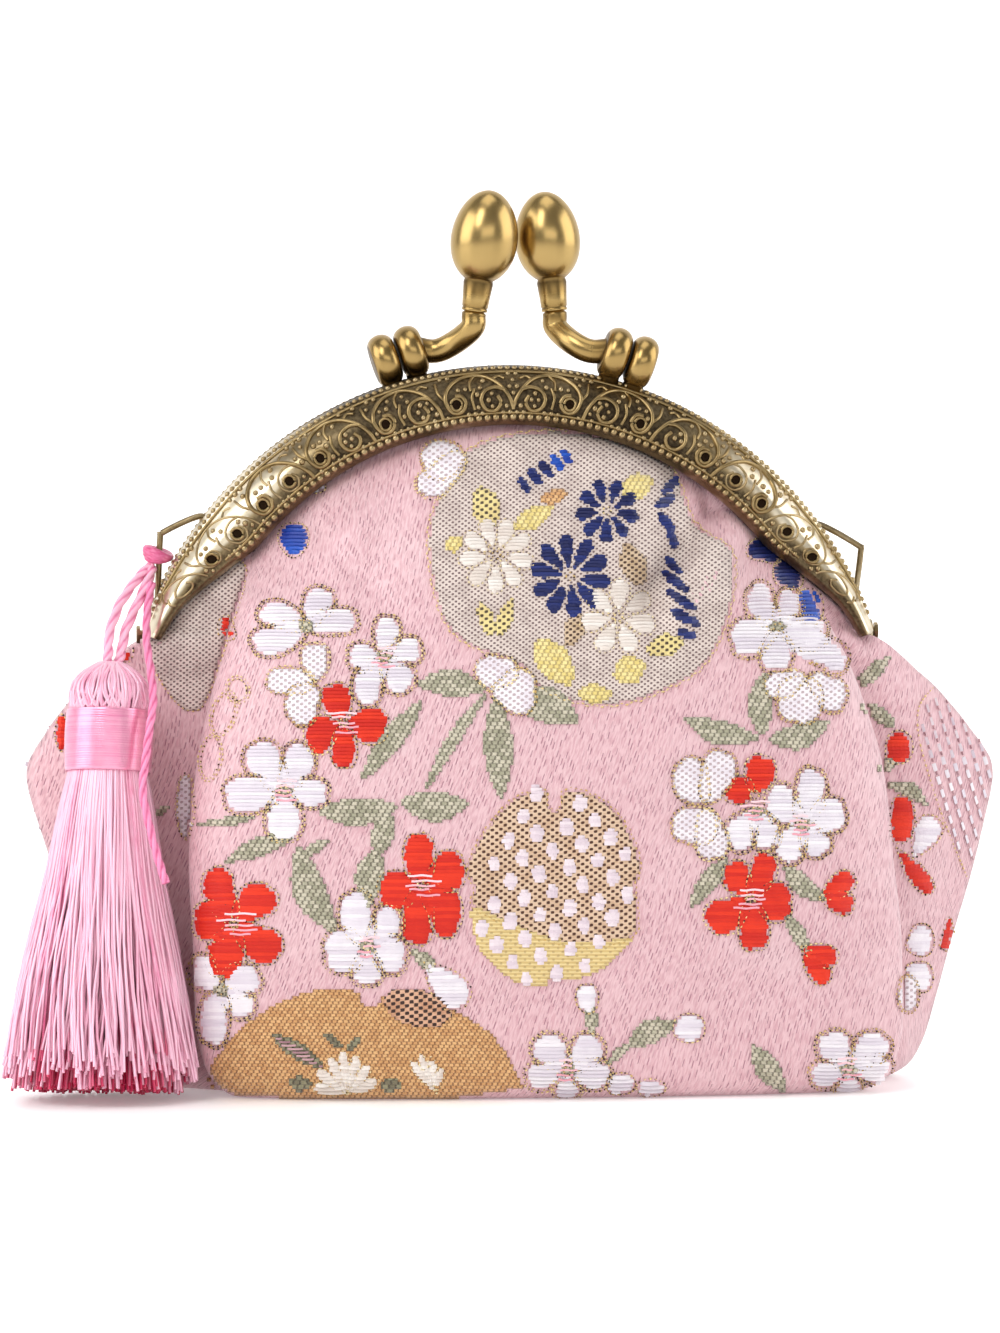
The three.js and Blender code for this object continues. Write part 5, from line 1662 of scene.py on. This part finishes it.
def makeTassel():
    dice = random.Random(tassel["seed"])
    lines = []
    for i in range(tassel["strands"]):
        turn = 2 * math.pi * dice.random()
        depth = 1 - 0.75 * dice.random() ** 2.0
        drift, sway = dice.uniform(-0.2, 0.2), dice.uniform(0, 6.28)
        deep = depth < 0.84
        length = tasselLength + (dice.uniform(-0.9, 0.1) if deep else dice.uniform(-4.4, -1.2))
        streak = 0.5 * max(math.cos(5 * turn + 0.8) + 0.3 * math.cos(13 * turn) - 0.5, 0)
        line = []
        for k in range(9):
            t = k / 8
            down = 12.0 + (length - 12.0) * t
            out = float(tasselRadius(down)) * (depth * 0.92 + 0.07) + 0.45 * math.sin(sway + 6 * t) * t
            line.append(onTassel(down, turn + drift * t + 0.06 * math.sin(sway + 8 * t) * t, out))
        # strands nearer the core get a deeper pink: painted shade inside the skirt
        lines.append((line, dice.random() * 0.4 + 1.3 * (1 - depth) + streak, False))
    for i in range(tassel["headStrands"]):
        turn = 2 * math.pi * (i + dice.uniform(-0.8, 0.8)) / tassel["headStrands"]
        slant, puff = dice.uniform(-0.8, 0.8), dice.uniform(-0.1, 0.45)
        line = []
        for k in range(9):
            t = k / 8
            down = 0.05 + 5.9 * t**1.3
            out = float(tasselRadius(down)) + puff * math.sin(math.pi * t)
            line.append(onTassel(down, turn + slant * t * (1 - t) * 2, out))
        lines.append((line, dice.random() * 0.6, False))
    piece = lineMesh("tassel_threads", lines)
    size = tassel["strandRadius"]
    grow(piece, strandTree, material=flossFinish, halfWide=size, halfDeep=size, sides=5, rounded=True)
    threads = settle(piece, "tassel_silk", "tassel_skirt")
    core = [(0, 0.3)] + [(float(tasselRadius(d)) * 0.9, d) for d in (0.6, 1.2, 3, 5.2, 12.6, 15, 24)]
    core += [(6.6, 36.0), (7.4, tasselLength - 2.2), (0, tasselLength - 2.3)]
    sides = 40
    piece = joinParts("tassel_core", [lathePart(core, tasselTop, tasselDown, sides, 0.0)], coreShadeFinish)
    # pale under the head strands, deep pink below them: painted shade between the skirt's strands
    tones = [0.1 if down < 5.3 else 0.95 for _, down in core for _ in range(sides)]
    setValues(piece, "tone", tones)
    return [threads, settle(piece, "tassel_silk")]


def makeBand():
    profile, tones = [(4.4, tassel["bandTop"] + 0.2)], []
    turns, perTurn, sides = 26, 4, 56
    span = tassel["bandFoot"] - tassel["bandTop"]
    for i in range(turns * perTurn + 1):
        t = i / (turns * perTurn)
        swell = tassel["bandRadius"] + 0.22 * math.sin(math.pi * t) ** 0.5
        profile.append((swell + 0.014 * math.cos(2 * math.pi * t * turns), tassel["bandTop"] + span * t))
    profile.append((4.4, tassel["bandFoot"] - 0.2))
    dice = random.Random(2)
    for _ in profile:
        tones += [0.3 + 0.4 * dice.random()] * sides
    piece = joinParts("tassel_band_silk", [lathePart(profile, tasselTop, tasselDown, sides, 0.0)], bandFinish)
    setValues(piece, "tone", tones)
    return settle(piece, "tassel_silk", "tassel_band")


cordRoute = (
    (-46.9, -10.6, 48.6), (-46.7, -10.2, 50.0), (-46.4, -8.2, 52.4), (-45.0, -4.0, 55.4), (-42.9, -0.9, 58.0),
    (-41.4, 0.3, 59.4), (-41.2, -0.2, 58.8), (-42.6, -2.6, 56.0), (-44.4, -6.8, 52.8), (-45.2, -9.6, 50.1),
    (-45.6, -10.4, 48.6),
)
tailRoute = (
    (-41.2, -1.6, 57.6), (-41.9, -4.4, 54.6), (-42.2, -8.2, 51.4), (-42.0, -12.2, 48.2), (-41.9, -15.2, 45.0),
    (-42.4, -16.8, 42.0), (-42.9, -17.6, 38.6), (-43.3, -18.6, 35.0), (-42.6, -19.6, 31.0),
    (-41.7, -20.8, 27.4), (-40.9, -21.6, 24.8),
)
cords = {"loop": 1.2 * mm, "tail": 1.0 * mm, "twist": 7.0 * mm, "sides": 24}


def routeLength(path):
    return sum((b - a).length for a, b in zip(path, path[1:]))


def twistedCord(name, route, diameter, finish):
    path = [p * mm for p in smoothPath(route, 14)]
    length = routeLength(path)
    turns = length / cords["twist"]
    ply = lambda t, a: diameter / 2 * (0.66 + 0.34 * abs(math.cos(1.5 * (a - 2 * math.pi * turns * t))))
    sides = cords["sides"]
    piece = joinParts(name, [tubePart(path, ply, sides, 0.0)], finish)
    # the grooves between the plies get a deeper pink: painted shade
    tones = []
    for i in range(len(path)):
        shift = 2 * math.pi * turns * i / (len(path) - 1)
        tones += [0.9 - 0.8 * abs(math.cos(1.5 * (2 * math.pi * k / sides - shift))) for k in range(sides)]
    setValues(piece, "tone", tones)
    return piece, path, length


def makeCords(hung):
    knot = []
    centre, axis = Vector((-40.35, 1.0, 60.6)), Vector((-0.3, 0, -7.2)).normalized()
    side = Vector((0, 1, 0))
    other = axis.cross(side)
    turns, steps = 5.4, 150
    for i in range(steps + 1):
        t = i / steps
        a = 2 * math.pi * turns * t
        r = 1.1 + 0.35 * math.sin(math.pi * t)
        along = 0.95 * math.sin(2 * math.pi * 2.3 * t + 0.4) * math.cos(a * 0.5) - 0.5 * math.cos(math.pi * t)
        knot.append((centre + axis * along + (side * math.cos(a) + other * math.sin(a)) * r) * mm)
    piece = joinParts("tassel_knot_silk", [tubePart(knot, 0.38 * mm, 10, 0.0)], tailFinish)
    dice = random.Random(4)
    tones = [0.55 + 0.4 * dice.random() for _ in piece.data.vertices]
    setValues(piece, "tone", tones)
    knotPiece = settle(piece, "cord_silk", "tassel_knot")
    loop, path, length = twistedCord("tassel_loop", cordRoute, cords["loop"], cordFinish)
    settle(loop, "cord_silk", "tassel_cord")
    [knotPiece] + hung
    tail, path, length = twistedCord("tassel_tail_cord", tailRoute, cords["tail"], tailFinish)
    settle(tail, "cord_silk", "tassel_tail")


tasselPieces = makeTassel()
tasselPieces.append(makeBand())
makeCords(tasselPieces)
print("tassel tied")


# pale sweep and soft light
lamps = (
    ("key", (-0.45, -0.7, 0.8), (0.35, 0.6), 3.7),
    ("left card", (-0.9, -0.25, 0.45), (0.8, 0.8), 6.0),
    ("right card", (0.95, -0.15, 0.42), (0.9, 0.8), 5.8),
    ("front card", (0.12, -1.35, 0.42), (1.1, 0.4), 2.6),
    ("top", (0.05, -0.05, 0.95), (0.6, 0.5), 1.7),
)


def makeStage():
    rows = [(-3.0, 0.0), (1.0, 0.0)]
    for i in range(1, 9):
        a = math.pi / 2 * i / 8
        rows.append((1.0 + 0.4 * math.sin(a), 0.4 * (1 - math.cos(a))))
    rows.append((1.4, 3.0))
    points = [(x, y, z) for y, z in rows for x in (-3.0, 3.0)]
    faces = [(2 * i, 2 * i + 1, 2 * i + 3, 2 * i + 2) for i in range(len(rows) - 1)]
    sweep = linkMesh("floor", points, faces)
    for name, glow in (("pale_floor", 0.2), ("pale_wall", 0.6)):
        f = Finish(name, Roughness=0.35, Specular_IOR_Level=0.3, Emission_Strength=glow)
        f.set("Base Color", tint(250, 249, 249))
        f.set("Emission Color", (1, 1, 1, 1))
        shadeSmooth(sweep, f.material)
    for face in sweep.data.polygons:
        face.material_index = min(face.index, 1)
    world = bpy.data.worlds.new("soft_room")
    world.use_nodes = True
    world.node_tree.nodes["Background"].inputs["Color"].default_value = (1, 1, 1, 1)
    world.node_tree.nodes["Background"].inputs["Strength"].default_value = 0.28
    scene.world = world
    for name, place, (wide, tall), power in lamps:
        light = bpy.data.lights.new(name, "AREA")
        light.shape = "RECTANGLE"
        light.size, light.size_y = wide, tall
        light.energy = power
        lamp = bpy.data.objects.new(name, light)
        lamp.location = place
        lamp.rotation_mode = "QUATERNION"
        lamp.rotation_quaternion = (Vector((0, 0, 0.04)) - Vector(place)).to_track_quat("-Z", "Y")
        scene.collection.objects.link(lamp)


makeStage()
print("stage lit")
